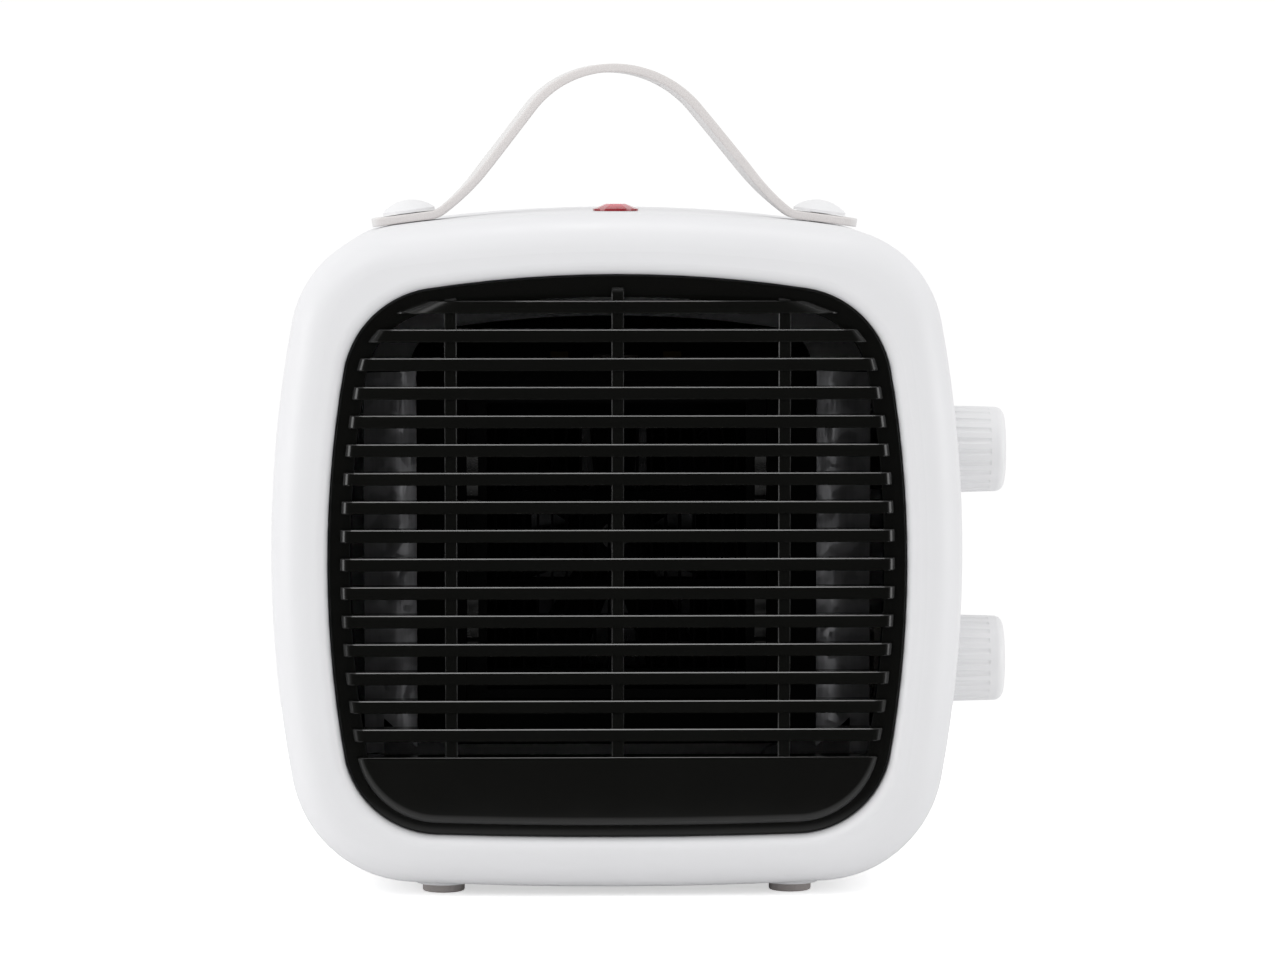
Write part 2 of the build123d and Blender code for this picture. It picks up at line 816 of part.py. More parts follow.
def make_selector_switch():
    z = function_knob_z
    with BuildPart() as switch:
        add(slab(plane_x(bracket_x, knob_y, z, -1), switch_side, switch_side, switch_depth))
        fillet(edges().filter_by(Axis.X), switch_corner_radius)
        add(rod(plane_x(bracket_x, knob_y, z), bush_radius, bush_length))
        for i in (-1, 0, 1):
            back = plane_x(bracket_x - switch_depth, knob_y, z + i * switch_tab_spacing, -1)
            add(slab(back, tab_width, tab_thickness, tab_length))
        add(shaft_bore(z), mode=Mode.SUBTRACT)
    return switch.part


def make_thermostat():
    z = thermostat_knob_z
    with BuildPart() as thermostat:
        add(rod(plane_x(bracket_x, knob_y, z, -1), thermostat_radius, thermostat_depth))
        bar = plane_x(bracket_x - thermostat_depth, knob_y, z, -1)
        add(slab(bar, thermostat_bar_width, thermostat_bar_length, thermostat_bar_thickness))
        add(rod(plane_x(bracket_x, knob_y, z), bush_radius, bush_length))
        back_x = bracket_x - thermostat_depth - thermostat_bar_thickness
        for dz in (-thermostat_tab_reach, thermostat_tab_reach):
            add(slab(plane_x(back_x, knob_y, z + dz, -1), tab_width, tab_thickness, tab_length))
        add(shaft_bore(z), mode=Mode.SUBTRACT)
    return thermostat.part


def make_control_bracket():
    bottom = bracket_heights[1] - bracket_end / 2
    top = bracket_heights[0] + bracket_end / 2
    middle = (bottom + top) / 2
    with BuildPart() as bracket:
        add(slab(plane_x(bracket_x, knob_y, middle), bracket_width, top - bottom, bracket_thickness))
        edge_y = knob_y + bracket_width / 2
        flange = slab(plane_y(bracket_x + bracket_thickness - bracket_flange / 2, edge_y, middle, -1),
                      bracket_flange, top - bottom, bracket_thickness)
        add(flange)
        for z in (function_knob_z, thermostat_knob_z):
            hole = drill(plane_x(bracket_x, knob_y, z), bush_radius + fit_gap, bracket_thickness)
            add(hole, mode=Mode.SUBTRACT)
        for z in bracket_heights:
            hole = drill(plane_x(bracket_x, knob_y, z), screw_radius + screw_clearance, bracket_thickness)
            add(hole, mode=Mode.SUBTRACT)
    return bracket.part


# Air duct: frame round the heater at the front, a plate with arms, and the fan's round tunnel behind.
def make_air_duct():
    inner_half_width = heater_half_width + heater_gap
    inner_half_height = heater_half_height + heater_gap
    front = plane_y(0, duct_front_y, axis_z)
    tube_length = duct_plate_y - duct_front_y + duct_wall
    with BuildPart() as duct:
        add(slab(front, 2 * duct_half_width, 2 * duct_half_height, duct_skirt))
        hollow = slab(plane_y(0, duct_front_y + duct_wall, axis_z), 2 * (duct_half_width - duct_wall),
                      2 * (duct_half_height - duct_wall), duct_skirt)
        add(hollow, mode=Mode.SUBTRACT)
        add(slab(front, 2 * (inner_half_width + duct_wall), 2 * (inner_half_height + duct_wall), tube_length))
        plate = plane_y(0, duct_plate_y, axis_z)
        plate_half_height = motor_bracket_leg + motor_plate_margin
        add(slab(plate, 2 * (tunnel_radius + 2 * duct_wall), 2 * plate_half_height, duct_wall))
        for x, z in duct_places[::2]:
            arm = slab(plane_y(0, duct_plate_y, z), 2 * (x + boss_radius), duct_arm_height, duct_wall)
            add(arm)
        add(rod(plate, tunnel_radius + duct_wall, tunnel_back_y - duct_plate_y))
        add(rod(plane_y(0, ledge_y, axis_z), tunnel_radius, tunnel_back_y - ledge_y + 1), mode=Mode.SUBTRACT)
        cavity = slab(front, 2 * inner_half_width, 2 * inner_half_height, ledge_y - duct_front_y)
        add(cavity, mode=Mode.SUBTRACT)
        through = slab(front, 2 * (inner_half_width - ledge), 2 * (inner_half_height - ledge),
                       duct_plate_y - duct_front_y)
        add(through, mode=Mode.SUBTRACT)
        for x, z in duct_places:
            hole = drill(plane_y(x, duct_plate_y, z), screw_radius + screw_clearance, duct_wall)
            add(hole, mode=Mode.SUBTRACT)
    return duct.part


# Heater: insulating frame with aluminium bars and banks of fins, clips, contacts and safety devices.
heater_front_y = ledge_y - heater_depth
bar_gap_count = heater_bars - 1
bar_span = 2 * (heater_half_height - heater_rim)
fin_height = (bar_span - heater_bars * heater_bar_height) / bar_gap_count
bar_middle_y = ledge_y - heater_depth / 2
device_y = duct_plate_y - device_setback
duct_top_z = axis_z + heater_half_height + heater_gap + duct_wall


def bar_height(i):
    return axis_z - bar_span / 2 + heater_bar_height / 2 + i * (heater_bar_height + fin_height)


def make_heater_frame():
    with BuildPart() as frame:
        front = plane_y(0, heater_front_y, axis_z)
        add(slab(front, 2 * heater_half_width, 2 * heater_half_height, heater_depth))
        fillet(edges().filter_by(Axis.Y), heater_frame_corner)
        hole = slab(front, 2 * (heater_half_width - heater_rim), bar_span, heater_depth)
        add(hole, mode=Mode.SUBTRACT)
    return frame.part


def make_heater_bars():
    with BuildPart() as bars:
        half = heater_half_width - heater_rim - fit_gap
        for i in range(heater_bars):
            start = plane_x(-half, bar_middle_y, bar_height(i))
            height = heater_bar_height - (2 * fit_gap if i in (0, heater_bars - 1) else 0)
            add(slab(start, heater_bar_depth, height, 2 * half))
    return bars.part


def make_heater_fins():
    span = 2 * (heater_half_width - heater_rim - fin_bank_margin)
    with BuildPart() as fins:
        for i in range(bar_gap_count):
            z = bar_height(i) + heater_bar_height / 2
            with BuildSketch(plane_z(0, bar_middle_y, z)):
                with GridLocations(span / (heater_fins - 1), 1, heater_fins, 1):
                    Rectangle(heater_fin_thickness, heater_bar_depth - 2 * fin_setback)
            extrude(amount=fin_height)
    return fins.part


def make_heater_clips():
    """Small metal clips on the front edges of the heater frame."""
    with BuildPart() as clips:
        for side in (-1, 1):
            for dz in clip_heights:
                seat = plane_y(side * (heater_half_width - clip_reach / 2), heater_front_y, axis_z + dz, -1)
                add(slab(seat, clip_reach, clip_length, clip_thickness))
    return clips.part


def make_heater_terminals():
    with BuildPart() as terminals:
        for x in (-heater_tab_x, heater_tab_x):
            add(slab(plane_z(x, device_y, duct_top_z), tab_width, tab_thickness, heater_tab_length))
    return terminals.part


def make_thermal_cutout():
    base = plane_z(0, device_y, duct_top_z)
    with BuildPart() as cutout:
        add(slab(base, cutout_base_width, cutout_base_depth, cutout_base_thickness))
        add(rod(base, cutout_radius, cutout_height))
    return cutout.part


def make_thermal_fuse():
    """Small cylinder lying on the duct beside the cut-out."""
    return rod(plane_x(fuse_start_x, device_y, duct_top_z + fuse_radius + fit_gap), fuse_radius, fuse_length)


# Bent metal sheets beside the duct, seen through the grille: they lead the warm air outwards.
def make_reflector(side):
    flange_x = duct_half_width + fit_gap + reflector_thickness / 2
    back_y = duct_front_y + reflector_flange
    with BuildPart() as reflector:
        bottom = axis_z + reflector_bottom
        with BuildSketch(Plane.XY.offset(bottom)):
            with BuildLine():
                flange = Line((flange_x, back_y), (flange_x, duct_front_y - reflector_land))
                RadiusArc(flange @ 1, (reflector_outer_x, reflector_front_y), -reflector_bend)
            trace(line_width=reflector_thickness)
        extrude(amount=reflector_top - reflector_bottom)
        with BuildSketch(Plane.XZ):
            with Locations((flange_x - overcut, bottom)):
                Triangle(a=reflector_corner, b=reflector_corner, C=90, align=(Align.MIN, Align.MIN))
        extrude(amount=-front_y, mode=Mode.SUBTRACT)
    if side > 0:
        return reflector.part
    with BuildPart() as mirrored:
        mirror(reflector.part, about=Plane.YZ, mode=Mode.ADD)
    return mirrored.part


# Fan wheel: hub cup with twisted blades.
def make_fan_wheel():
    middle_y = fan_front_y + fan_depth / 2
    with BuildPart() as blades:
        for i in range(fan_blades):
            turn = 360.0 * i / fan_blades
            root = Plane((0, middle_y, axis_z)).rotated((0, turn, 0)).offset(fan_hub_radius - blade_overlap)
            tip = Plane((0, middle_y, axis_z)).rotated((0, turn, 0)).offset(fan_radius + blade_overlap)
            with BuildSketch(root):
                Rectangle(blade_root_chord, blade_thickness, rotation=blade_root_pitch)
            with BuildSketch(tip):
                Rectangle(blade_tip_chord, blade_thickness, rotation=blade_tip_pitch)
            loft()
        add(rod(plane_y(0, fan_front_y, axis_z), fan_radius, fan_depth), mode=Mode.INTERSECT)

    with BuildPart() as wheel:
        add(rod(plane_y(0, fan_front_y, axis_z), fan_hub_radius, fan_depth))
        fillet(edges().sort_by(Axis.Y)[0], fan_hub_edge)
        add(blades.part)
        back = plane_y(0, fan_front_y + fan_depth, axis_z, -1)
        with BuildSketch(back):
            Circle(fan_hub_radius - fan_hub_wall)
            Circle(motor_shaft_radius + fan_hub_wall, mode=Mode.SUBTRACT)
        extrude(amount=fan_depth - fan_hub_wall, mode=Mode.SUBTRACT)
        bore = drill(plane_y(0, fan_front_y, axis_z), motor_shaft_radius + shaft_clearance, fan_depth)
        add(bore, mode=Mode.SUBTRACT)
    return wheel.part


# Motor: a steel bracket over the tunnel carries a stator with its coil, two bearings and the rotor.
stator_y = motor_bracket_y + motor_bracket_thickness + motor_standoff
end_plate_y = stator_y + stator_depth + motor_standoff
motor_screw_places = [(-motor_screw_x, motor_screw_z), (motor_screw_x, motor_screw_z)]


def make_motor_bracket():
    plate_back = duct_plate_y + duct_wall
    leg_length = motor_bracket_y + motor_bracket_thickness - plate_back
    half_span = motor_bracket_leg + motor_bracket_thickness
    with BuildPart() as bracket:
        bridge = plane_y(0, motor_bracket_y, axis_z)
        add(slab(bridge, motor_bracket_width, 2 * half_span, motor_bracket_thickness))
        add(slab(bridge, 2 * motor_plate_half_width, 2 * motor_plate_half_height, motor_bracket_thickness))
        for side in (-1, 1):
            z = axis_z + side * (motor_bracket_leg + motor_bracket_thickness / 2)
            add(slab(plane_y(0, plate_back, z), motor_bracket_width, motor_bracket_thickness, leg_length))
            foot = plane_y(0, plate_back, axis_z + side * (half_span + bracket_foot_offset))
            add(slab(foot, motor_bracket_width, bracket_foot_height, motor_bracket_thickness))
            hole = drill(foot, screw_radius + screw_clearance, motor_bracket_thickness)
            add(hole, mode=Mode.SUBTRACT)
        for x, dz in motor_screw_places:
            back = plane_y(x, motor_bracket_y + motor_bracket_thickness, axis_z + dz)
            add(rod(back, boss_radius, motor_standoff))
            front = plane_y(x, motor_bracket_y, axis_z + dz)
            hole = drill(front, screw_radius + screw_clearance, motor_bracket_thickness + motor_standoff)
            add(hole, mode=Mode.SUBTRACT)
        seat = drill(plane_y(0, motor_bracket_y, axis_z), bearing_radius + fit_gap, motor_bracket_thickness)
        add(seat, mode=Mode.SUBTRACT)
    return bracket.part


def make_stator():
    with BuildPart() as stator:
        with BuildSketch(plane_y(0, stator_y, axis_z, -1)):
            with Locations((0, (stator_top - stator_bottom) / 2)):
                Rectangle(2 * stator_half_width, stator_top + stator_bottom)
            Circle(rotor_radius + rotor_gap, mode=Mode.SUBTRACT)
            leg_top = -stator_bottom + stator_leg
            with Locations((0, (leg_top - stator_window_top) / 2)):
                window_width = 2 * (stator_half_width - stator_leg)
                Rectangle(window_width, -leg_top - stator_window_top, mode=Mode.SUBTRACT)
            with Locations(motor_screw_places):
                Circle(screw_radius + screw_clearance, mode=Mode.SUBTRACT)
        extrude(amount=-stator_depth)
    return stator.part


def make_coil():
    """Winding round the stator's lower leg."""
    leg_z = axis_z - stator_bottom + stator_leg / 2
    middle_y = stator_y + stator_depth / 2
    with BuildPart() as coil:
        start = plane_x(-coil_half_width, middle_y, leg_z)
        add(slab(start, stator_depth + 2 * coil_wrap, stator_leg + 2 * coil_wrap, 2 * coil_half_width))
        fillet(edges().filter_by(Axis.X), coil_corner_radius)
        hole = slab(start, stator_depth + 2 * fit_gap, stator_leg + 2 * fit_gap, 2 * coil_half_width)
        add(hole, mode=Mode.SUBTRACT)
    return coil.part


def make_motor_end_plate():
    with BuildPart() as plate:
        back = plane_y(0, end_plate_y, axis_z)
        add(slab(back, 2 * motor_plate_half_width, 2 * motor_plate_half_height, end_plate_thickness))
        for x, dz in motor_screw_places:
            add(rod(plane_y(x, end_plate_y, axis_z + dz, -1), boss_radius, motor_standoff))
        for x, dz in motor_screw_places:
            start = plane_y(x, stator_y + stator_depth, axis_z + dz)
            hole = drill(start, screw_radius + screw_clearance, motor_standoff + end_plate_thickness)
            add(hole, mode=Mode.SUBTRACT)
        seat = drill(plane_y(0, end_plate_y, axis_z), bearing_radius + fit_gap, end_plate_thickness)
        add(seat, mode=Mode.SUBTRACT)
    return plate.part


def make_motor_bearings():
    with BuildPart() as bearings:
        front_y_start = motor_bracket_y - (bearing_length - motor_bracket_thickness) / 2
        rear_y_start = end_plate_y - (bearing_length - end_plate_thickness) / 2
        for y in (front_y_start, rear_y_start):
            add(rod(plane_y(0, y, axis_z), bearing_radius, bearing_length))
            bore = drill(plane_y(0, y, axis_z), motor_shaft_radius + shaft_clearance, bearing_length)
            add(bore, mode=Mode.SUBTRACT)
    return bearings.part


def make_rotor():
    with BuildPart() as rotor:
        add(rod(plane_y(0, stator_y, axis_z), rotor_radius, stator_depth))
        bore = drill(plane_y(0, stator_y, axis_z), motor_shaft_radius + shaft_clearance, stator_depth)
        add(bore, mode=Mode.SUBTRACT)
    return rotor.part


def make_motor_shaft():
    start = fan_front_y - shaft_front_reach
    return rod(plane_y(0, start, axis_z), motor_shaft_radius, end_plate_y + shaft_rear_reach - start)


def make_fan_nut():
    """Push-on nut in front of the fan wheel."""
    with BuildPart() as nut:
        back = plane_y(0, fan_front_y, axis_z, -1)
        add(rod(back, fan_nut_radius, fan_nut_height))
        bore = drill(back, motor_shaft_radius + shaft_clearance, fan_nut_height)
        add(bore, mode=Mode.SUBTRACT)
    return nut.part


# Cord inlet and the terminal block inside it.
def make_cord_gland():
    inner_end = rear_y - wall - gland_inner_length
    with BuildPart() as gland:
        add(rod(plane_y(gland_x, rear_y, gland_z), gland_flange_radius, gland_flange))
        add(rod(plane_y(gland_x, rear_y, gland_z, -1), gland_radius, rear_y - inner_end))
        bore = drill(plane_y(gland_x, inner_end, gland_z), gland_bore, rear_y + gland_flange - inner_end)
        add(bore, mode=Mode.SUBTRACT)
    return gland.part


def make_terminal_block():
    with BuildPart() as terminal:
        base = plane_z(terminal_x, terminal_y, terminal_pad_z)
        add(slab(base, terminal_width, terminal_depth, terminal_height))
        for i in (-1, 0, 1):
            x = terminal_x + i * terminal_hole_spacing
            top = plane_z(x, terminal_y, terminal_pad_z + terminal_height)
            add(rod(top, terminal_hole_radius, -terminal_hole_depth), mode=Mode.SUBTRACT)
    return terminal.part


# Foot: rubber disc with a recess that hides its screw.
def make_foot(x, y):
    with BuildPart() as foot:
        add(rod(plane_z(x, y, 0), foot_radius, floor_gap))
        fillet(edges().sort_by(Axis.Z)[0], foot_edge_radius)
        add(rod(plane_z(x, y, 0), foot_recess_radius, foot_recess_depth), mode=Mode.SUBTRACT)
        add(drill(plane_z(x, y, 0), screw_radius + screw_clearance, floor_gap), mode=Mode.SUBTRACT)
    return foot.part


def make_foot_screws():
    """Countersunk so that each head lies inside its foot."""
    with BuildPart() as group:
        for x in (-foot_x, foot_x):
            for y in (foot_front_y, foot_rear_y):
                head_top = plane_z(x, y, foot_recess_depth, -1)
                add(rod(head_top, pan_head_radius, foot_recess_depth - foot_head_depth))
                add(rod(head_top, screw_radius, -foot_screw_length))
    return group.part


def main():
    os.makedirs("parts", exist_ok=True)
    save(make_front_shell(), "front_shell")
    save(make_rear_shell(), "rear_shell")
    save(make_front_grille(), "front_grille")
    save(make_rear_grille(), "rear_grille")
    save(make_intake_filter(), "intake_filter")
    save(make_strap(), "strap_handle")
    for side, word in ((-1, "left"), (1, "right")):
        save(make_cap(side), f"strap_cap_{word}")
        save(make_cap_plate(side), f"strap_plate_{word}")
        save(make_reflector(side), f"side_reflector_{word}")
    save(make_lamp_lens(), "lamp_lens")
    save(make_lamp_body(), "lamp_body")
    save(make_lamp_nut(), "lamp_nut")
    for z, word in ((function_knob_z, "function"), (thermostat_knob_z, "thermostat")):
        save(make_knob(z), f"{word}_knob")
        save(make_shaft(z), f"{word}_shaft")
    save(make_selector_switch(), "selector_switch")
    save(make_thermostat(), "thermostat")
    save(make_control_bracket(), "control_bracket")
    save(make_air_duct(), "air_duct")
    save(make_heater_frame(), "heater_frame")
    save(make_heater_bars(), "heater_bars")
    save(make_heater_fins(), "heater_fins")
    save(make_heater_clips(), "heater_clips")
    save(make_heater_terminals(), "heater_terminals")
    save(make_thermal_cutout(), "thermal_cutout")
    save(make_thermal_fuse(), "thermal_fuse")
    save(make_fan_wheel(), "fan_wheel")
    save(make_fan_nut(), "fan_nut")
    save(make_motor_bracket(), "motor_bracket")
    save(make_stator(), "motor_stator")
    save(make_coil(), "motor_coil")
    save(make_motor_end_plate(), "motor_end_plate")
    save(make_motor_bearings(), "motor_bearings")
    save(make_rotor(), "motor_rotor")
    save(make_motor_shaft(), "motor_shaft")
    save(make_cord_gland(), "cord_gland")
    save(make_terminal_block(), "terminal_block")
    for y, row in ((foot_front_y, "front"), (foot_rear_y, "rear")):
        for x, word in ((-foot_x, "left"), (foot_x, "right")):
            save(make_foot(x, y), f"foot_{row}_{word}")
    save(make_foot_screws(), "foot_screws")
    grille_heads = [plane_y(x, flange_back_y, z) for x, z in grille_places]
    save(screws(grille_heads, grille_screw_length), "grille_screws")
    post_heads = [plane_y(x, post_seat_y, z) for x, z in both_sides(post_places)]
    save(screws(post_heads, post_screw_length), "shell_screws")
    duct_heads = [plane_y(x, duct_plate_y + duct_wall, z) for x, z in duct_places]
    save(screws(duct_heads, grille_screw_length), "duct_screws")
    bracket_heads = [plane_x(bracket_x, knob_y, z, -1) for z in bracket_heights]
    save(screws(bracket_heads, control_screw_length), "control_screws")
    cap_heads = [cap_head_plane(side) for side in (-1, 1)]
    save(screws(cap_heads, wall + strap_thickness), "strap_screws")
    motor_heads = [plane_y(x, end_plate_y + end_plate_thickness, axis_z + dz) for x, dz in motor_screw_places]
    motor_screw_length = end_plate_y + end_plate_thickness - motor_bracket_y
    save(screws(motor_heads, motor_screw_length), "motor_screws")


def cap_head_plane(side):
    """Plane under the head of a strap screw, with its normal pointing down into the shell."""
    seat = cap_plane(side, -wall - strap_gap - cap_plate_thickness)
    return Plane(origin=seat.origin, x_dir=seat.x_dir, z_dir=-seat.z_dir)


main()
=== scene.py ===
import math

import bmesh
import bpy
import numpy as np
from bpy.props import FloatProperty, FloatVectorProperty, IntProperty, PointerProperty
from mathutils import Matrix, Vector


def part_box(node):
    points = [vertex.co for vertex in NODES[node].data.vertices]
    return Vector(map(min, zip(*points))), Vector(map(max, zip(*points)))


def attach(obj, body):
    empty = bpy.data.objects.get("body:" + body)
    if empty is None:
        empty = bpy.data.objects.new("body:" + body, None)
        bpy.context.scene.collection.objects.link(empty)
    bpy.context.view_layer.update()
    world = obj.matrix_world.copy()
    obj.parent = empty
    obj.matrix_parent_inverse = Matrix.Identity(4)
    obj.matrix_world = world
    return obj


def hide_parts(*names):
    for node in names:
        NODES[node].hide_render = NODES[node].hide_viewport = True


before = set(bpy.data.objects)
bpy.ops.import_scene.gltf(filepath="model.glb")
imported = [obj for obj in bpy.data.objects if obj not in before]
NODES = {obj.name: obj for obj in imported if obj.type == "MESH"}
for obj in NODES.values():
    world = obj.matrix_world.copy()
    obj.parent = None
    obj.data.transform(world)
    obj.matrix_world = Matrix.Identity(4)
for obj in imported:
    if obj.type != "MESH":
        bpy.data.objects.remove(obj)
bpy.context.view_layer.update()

bl_info = {
    "name": "Fan heater",
    "version": (1, 0),
    "blender": (4, 5, 0),
    "location": "3D View > Sidebar > Fan heater",
    "description": "Finishes and details of a small fan heater with a slatted grille and a strap",
    "category": "Object",
}

BODY = "housing"
SHELL_LOW, SHELL_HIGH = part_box("front_shell")
MIDDLE_X = (SHELL_LOW.x + SHELL_HIGH.x) / 2
FRONT_Y = SHELL_LOW.y
STRAP_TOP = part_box("strap_handle")[1].z
SHARP_EDGE = math.radians(30)
STREAK_DEPTH = 0.000004
LEATHER_DEPTH = 0.00002
DUST = (0.6, 0.58, 0.55, 1.0)
FINISHES = {}  # by the name of the slot

# The camera at the photograph's viewing angle, with the width of the picture at its aim
CAMERA_PLACE = Vector((MIDDLE_X - 0.028, -1.7115, 0.270))
CAMERA_AIM = Vector((MIDDLE_X + 0.00757, -0.0615, 0.1457))
PICTURE_WIDTH = 0.4448

# Light of the surroundings, of the backdrop and of the floor itself
PLAIN_LIGHT = 0.76
BACKDROP_LIGHT = 1.02
FLOOR_LIGHT = 0.55
FLOOR_RADIUS = 0.5
PURE_WHITE = (1.0, 1.0, 1.0, 1.0)

# Name, place, diameter and power of each lamp
LAMPS = (
    ("key_lamp", (-0.9, -1.5, 1.6), 1.2, 6.5),
    ("left_lamp", (-1.25, -0.45, 0.25), 0.7, 3.4),
    ("right_lamp", (1.3, -0.5, 0.15), 0.7, 3.0),
    ("top_lamp", (0.0, -0.2, 1.3), 0.35, 1.8),
)
LAMP_AIM = Vector((MIDDLE_X, 0.0, 0.12))


def length(name, description, default):
    return FloatProperty(name=name, description=description, default=default, unit="LENGTH", precision=5)


def slope(name, description, degrees):
    return FloatProperty(name=name, description=description, default=math.radians(degrees), subtype="ANGLE")


def colour(name, description, default):
    return FloatVectorProperty(name=name, description=description, default=default, size=3, subtype="COLOR",
                               min=0, max=1)


# Sizes and colours that can be changed


class GrilleSizes(bpy.types.PropertyGroup):
    """Sizes of the grille and of the window that it fills."""
    half_width: length("Window half width", "Half the width of the window at its widest", 0.1006)
    top: length("Window top", "Height of the window's highest point", 0.2175)
    bottom: length("Window bottom", "Height of the window's lowest point", 0.0214)
    widest: length("Widest height", "Height where the window is widest", 0.116)
    side_radius: length("Side radius", "Radius of the window's bulging sides", 0.393)
    top_radius: length("Top radius", "Radius of the window's bulging top", 0.437)
    bottom_radius: length("Bottom radius", "Radius of the window's bulging bottom", 1.95)
    top_corner: length("Top corner", "Radius of the window's top corners", 0.035)
    bottom_corner: length("Bottom corner", "Radius of the window's bottom corners", 0.0335)
    gap: length("Gap", "Gap between the ring and the shell's lip", 0.0003)
    ring_setback: length("Ring setback", "How far the ring lies behind the shell's front", 0.005)
    ring_edge: length("Ring edge", "Rounding of the ring's outer edge", 0.0006)
    opening_inset: length("Opening inset", "Width of the ring from the window's edge", 0.008)
    pad_inset: length("Pad inset", "How far inside the window the raised slats end", 0.0042)
    pad_setback: length("Pad setback", "How far the slats lie behind the shell's front", 0.0005)
    end_radius: length("End radius", "Rounding of the slats' ends and the apron's edge", 0.0036)
    slat_count: IntProperty(name="Slats", description="Number of slats", default=16, min=1)
    slat_pitch: length("Slat pitch", "Distance from one slat to the next", 0.0099)
    slat_height: length("Slat height", "Height of one slat", 0.0044)
    slat_drop: length("First slat", "Distance from the window's top down to the first slat", 0.0091)
    chamfer: length("Chamfer", "Chamfer along the slats and the apron", 0.00034)
    rib_width: length("Rib width", "Width of an upright rib", 0.0043)
    rib_spacing: length("Rib spacing", "Distance from one rib to the next", 0.0577)
    rib_setback: length("Rib setback", "How far the ribs lie behind the slats' front", 0.0015)
    rib_end: length("Rib end", "Rounding of the ribs' ends", 0.003)
    back: length("Back", "Depth from the shell's front to the back of the slats", 0.009)
    seat: length("Seat", "How far the slats' ends reach behind the ring's front", 0.0005)
    flange: length("Flange", "Thickness of the ring's flange behind the shell's lip", 0.002)


class StrapSizes(bpy.types.PropertyGroup):
    """Sizes of the strap and the line that it follows."""
    thickness: length("Thickness", "Thickness of the strap", 0.003)
    width: length("Width", "Width of the strap", 0.02)
    edge_radius: length("Edge rounding", "Rounding of the strap's four long edges", 0.0007)
    gap: length("Gap", "Gap between the strap and the shell", 0.0003)
    shell_radius: length("Shell radius", "Radius of the shell's bulging top", 0.57)
    corner_radius: length("Corner radius", "Radius of the shell's rounded top corners", 0.04)
    corner_x: length("Corner start", "Where the shell's top meets its corner, from the middle", 0.0801)
    end_x: length("End", "Distance from the middle to the strap's end", 0.0868)
    lift_x: length("Lift", "Distance from the middle to where the strap leaves the shell", 0.0658)
    foot_bend: length("Foot bend", "Radius of the bend beside the cap", 0.009)
    limb_bend: length("Limb bend", "Radius of the slow bend of the limb", 0.08)
    top_bend: length("Top bend", "Radius of the bend over the top", 0.038)
    foot_angle: slope("Foot angle", "Slope where the limb starts", 38)
    rise_angle: slope("Rise angle", "Steepest slope of the limb", 51.5)
    lean: length("Lean", "How far the strap's top leans to the left", 0.0012)
    twist: slope("Twist", "How far the strap's back edge is turned to the left", 6)
    tail: length("Tail", "Length of the rounded tail at each end", 0.005)
    narrowing: FloatProperty(name="Narrowing", description="Share of the width that a tail loses", default=0.32)


class HeaterColours(bpy.types.PropertyGroup):
    """Base colours of the heater's finishes."""
    shell: colour("Shell", "Satin white plastic of the shell", (0.80, 0.80, 0.815))
    knob: colour("Knobs", "White plastic of the knobs", (0.84, 0.84, 0.85))
    grille: colour("Grille", "Glossy black plastic of the grille", (0.0035, 0.0036, 0.003))
    strap_face: colour("Strap face", "Smooth faces of the strap", (0.78, 0.77, 0.765))
    strap_edge: colour("Strap edge", "Cut edges of the strap", (0.76, 0.73, 0.72))
    lamp: colour("Lamp", "Red signal lamp", (0.6, 0.03, 0.05))
    foot: colour("Feet", "Soft pads of the feet", (0.42, 0.385, 0.375))
    steel: colour("Steel", "Zinc-plated steel", (0.56, 0.57, 0.58))
    copper: colour("Copper", "Enamelled copper wire", (0.55, 0.20, 0.08))


class HeaterSettings(bpy.types.PropertyGroup):
    """Everything that can be set for the heater."""
    grille: PointerProperty(type=GrilleSizes)
    strap: PointerProperty(type=StrapSizes)
    colours: PointerProperty(type=HeaterColours)
    gland_bore: length("Gland bore", "Radius of the web across the cord gland", 0.0039)
    web_depth: length("Web depth", "Depth of the web behind the gland's inner end", 0.0008)
    web_thickness: length("Web thickness", "Thickness of the web", 0.0004)


# Node graphs


class Graph:
    """Adds nodes to a node tree and joins them."""

    def __init__(self, tree):
        self.tree = tree

    def node(self, kind, inputs=None, **settings):
        made = self.tree.nodes.new(kind)
        for key, value in settings.items():
            setattr(made, key, value)
        self.feed(made, inputs or {})
        return made

    def out(self, kind, inputs=None, **settings):
        """First output of a new node."""
        return self.node(kind, inputs, **settings).outputs[0]

    def feed(self, node, inputs):
        """Joins or sets inputs of a node."""
        for key, value in inputs.items():
            socket = node.inputs[key]
            if isinstance(value, bpy.types.NodeSocket):
                self.tree.links.new(value, socket)
            else:
                socket.default_value = value

    def place(self):
        """Where a point of the surface lies in the object's frame."""
        return self.node("ShaderNodeTexCoord").outputs["Object"]

    def split(self, vector):
        return self.node("ShaderNodeSeparateXYZ", {0: vector}).outputs

    def combine(self, x=0.0, y=0.0, z=0.0):
        return self.out("ShaderNodeCombineXYZ", {0: x, 1: y, 2: z})

    def math(self, operation, *values):
        return self.out("ShaderNodeMath", dict(enumerate(values)), operation=operation)

    def blend(self, factor, first, second):
        return self.out("ShaderNodeMix", {0: factor, 2: first, 3: second})

    def mix(self, factor, first, second):
        made = self.node("ShaderNodeMix", {0: factor, 6: first, 7: second}, data_type="RGBA")
        return made.outputs[2]

    def noise(self, vector, scale, detail=2.0, roughness=0.5):
        inputs = {"Vector": vector, "Scale": scale, "Detail": detail, "Roughness": roughness}
        return self.out("ShaderNodeTexNoise", inputs)

    def spread(self, value, low, high, start=0.0, end=1.0):
        inputs = {"Value": value, "From Min": start, "From Max": end, "To Min": low, "To Max": high}
        return self.node("ShaderNodeMapRange", inputs).outputs["Result"]


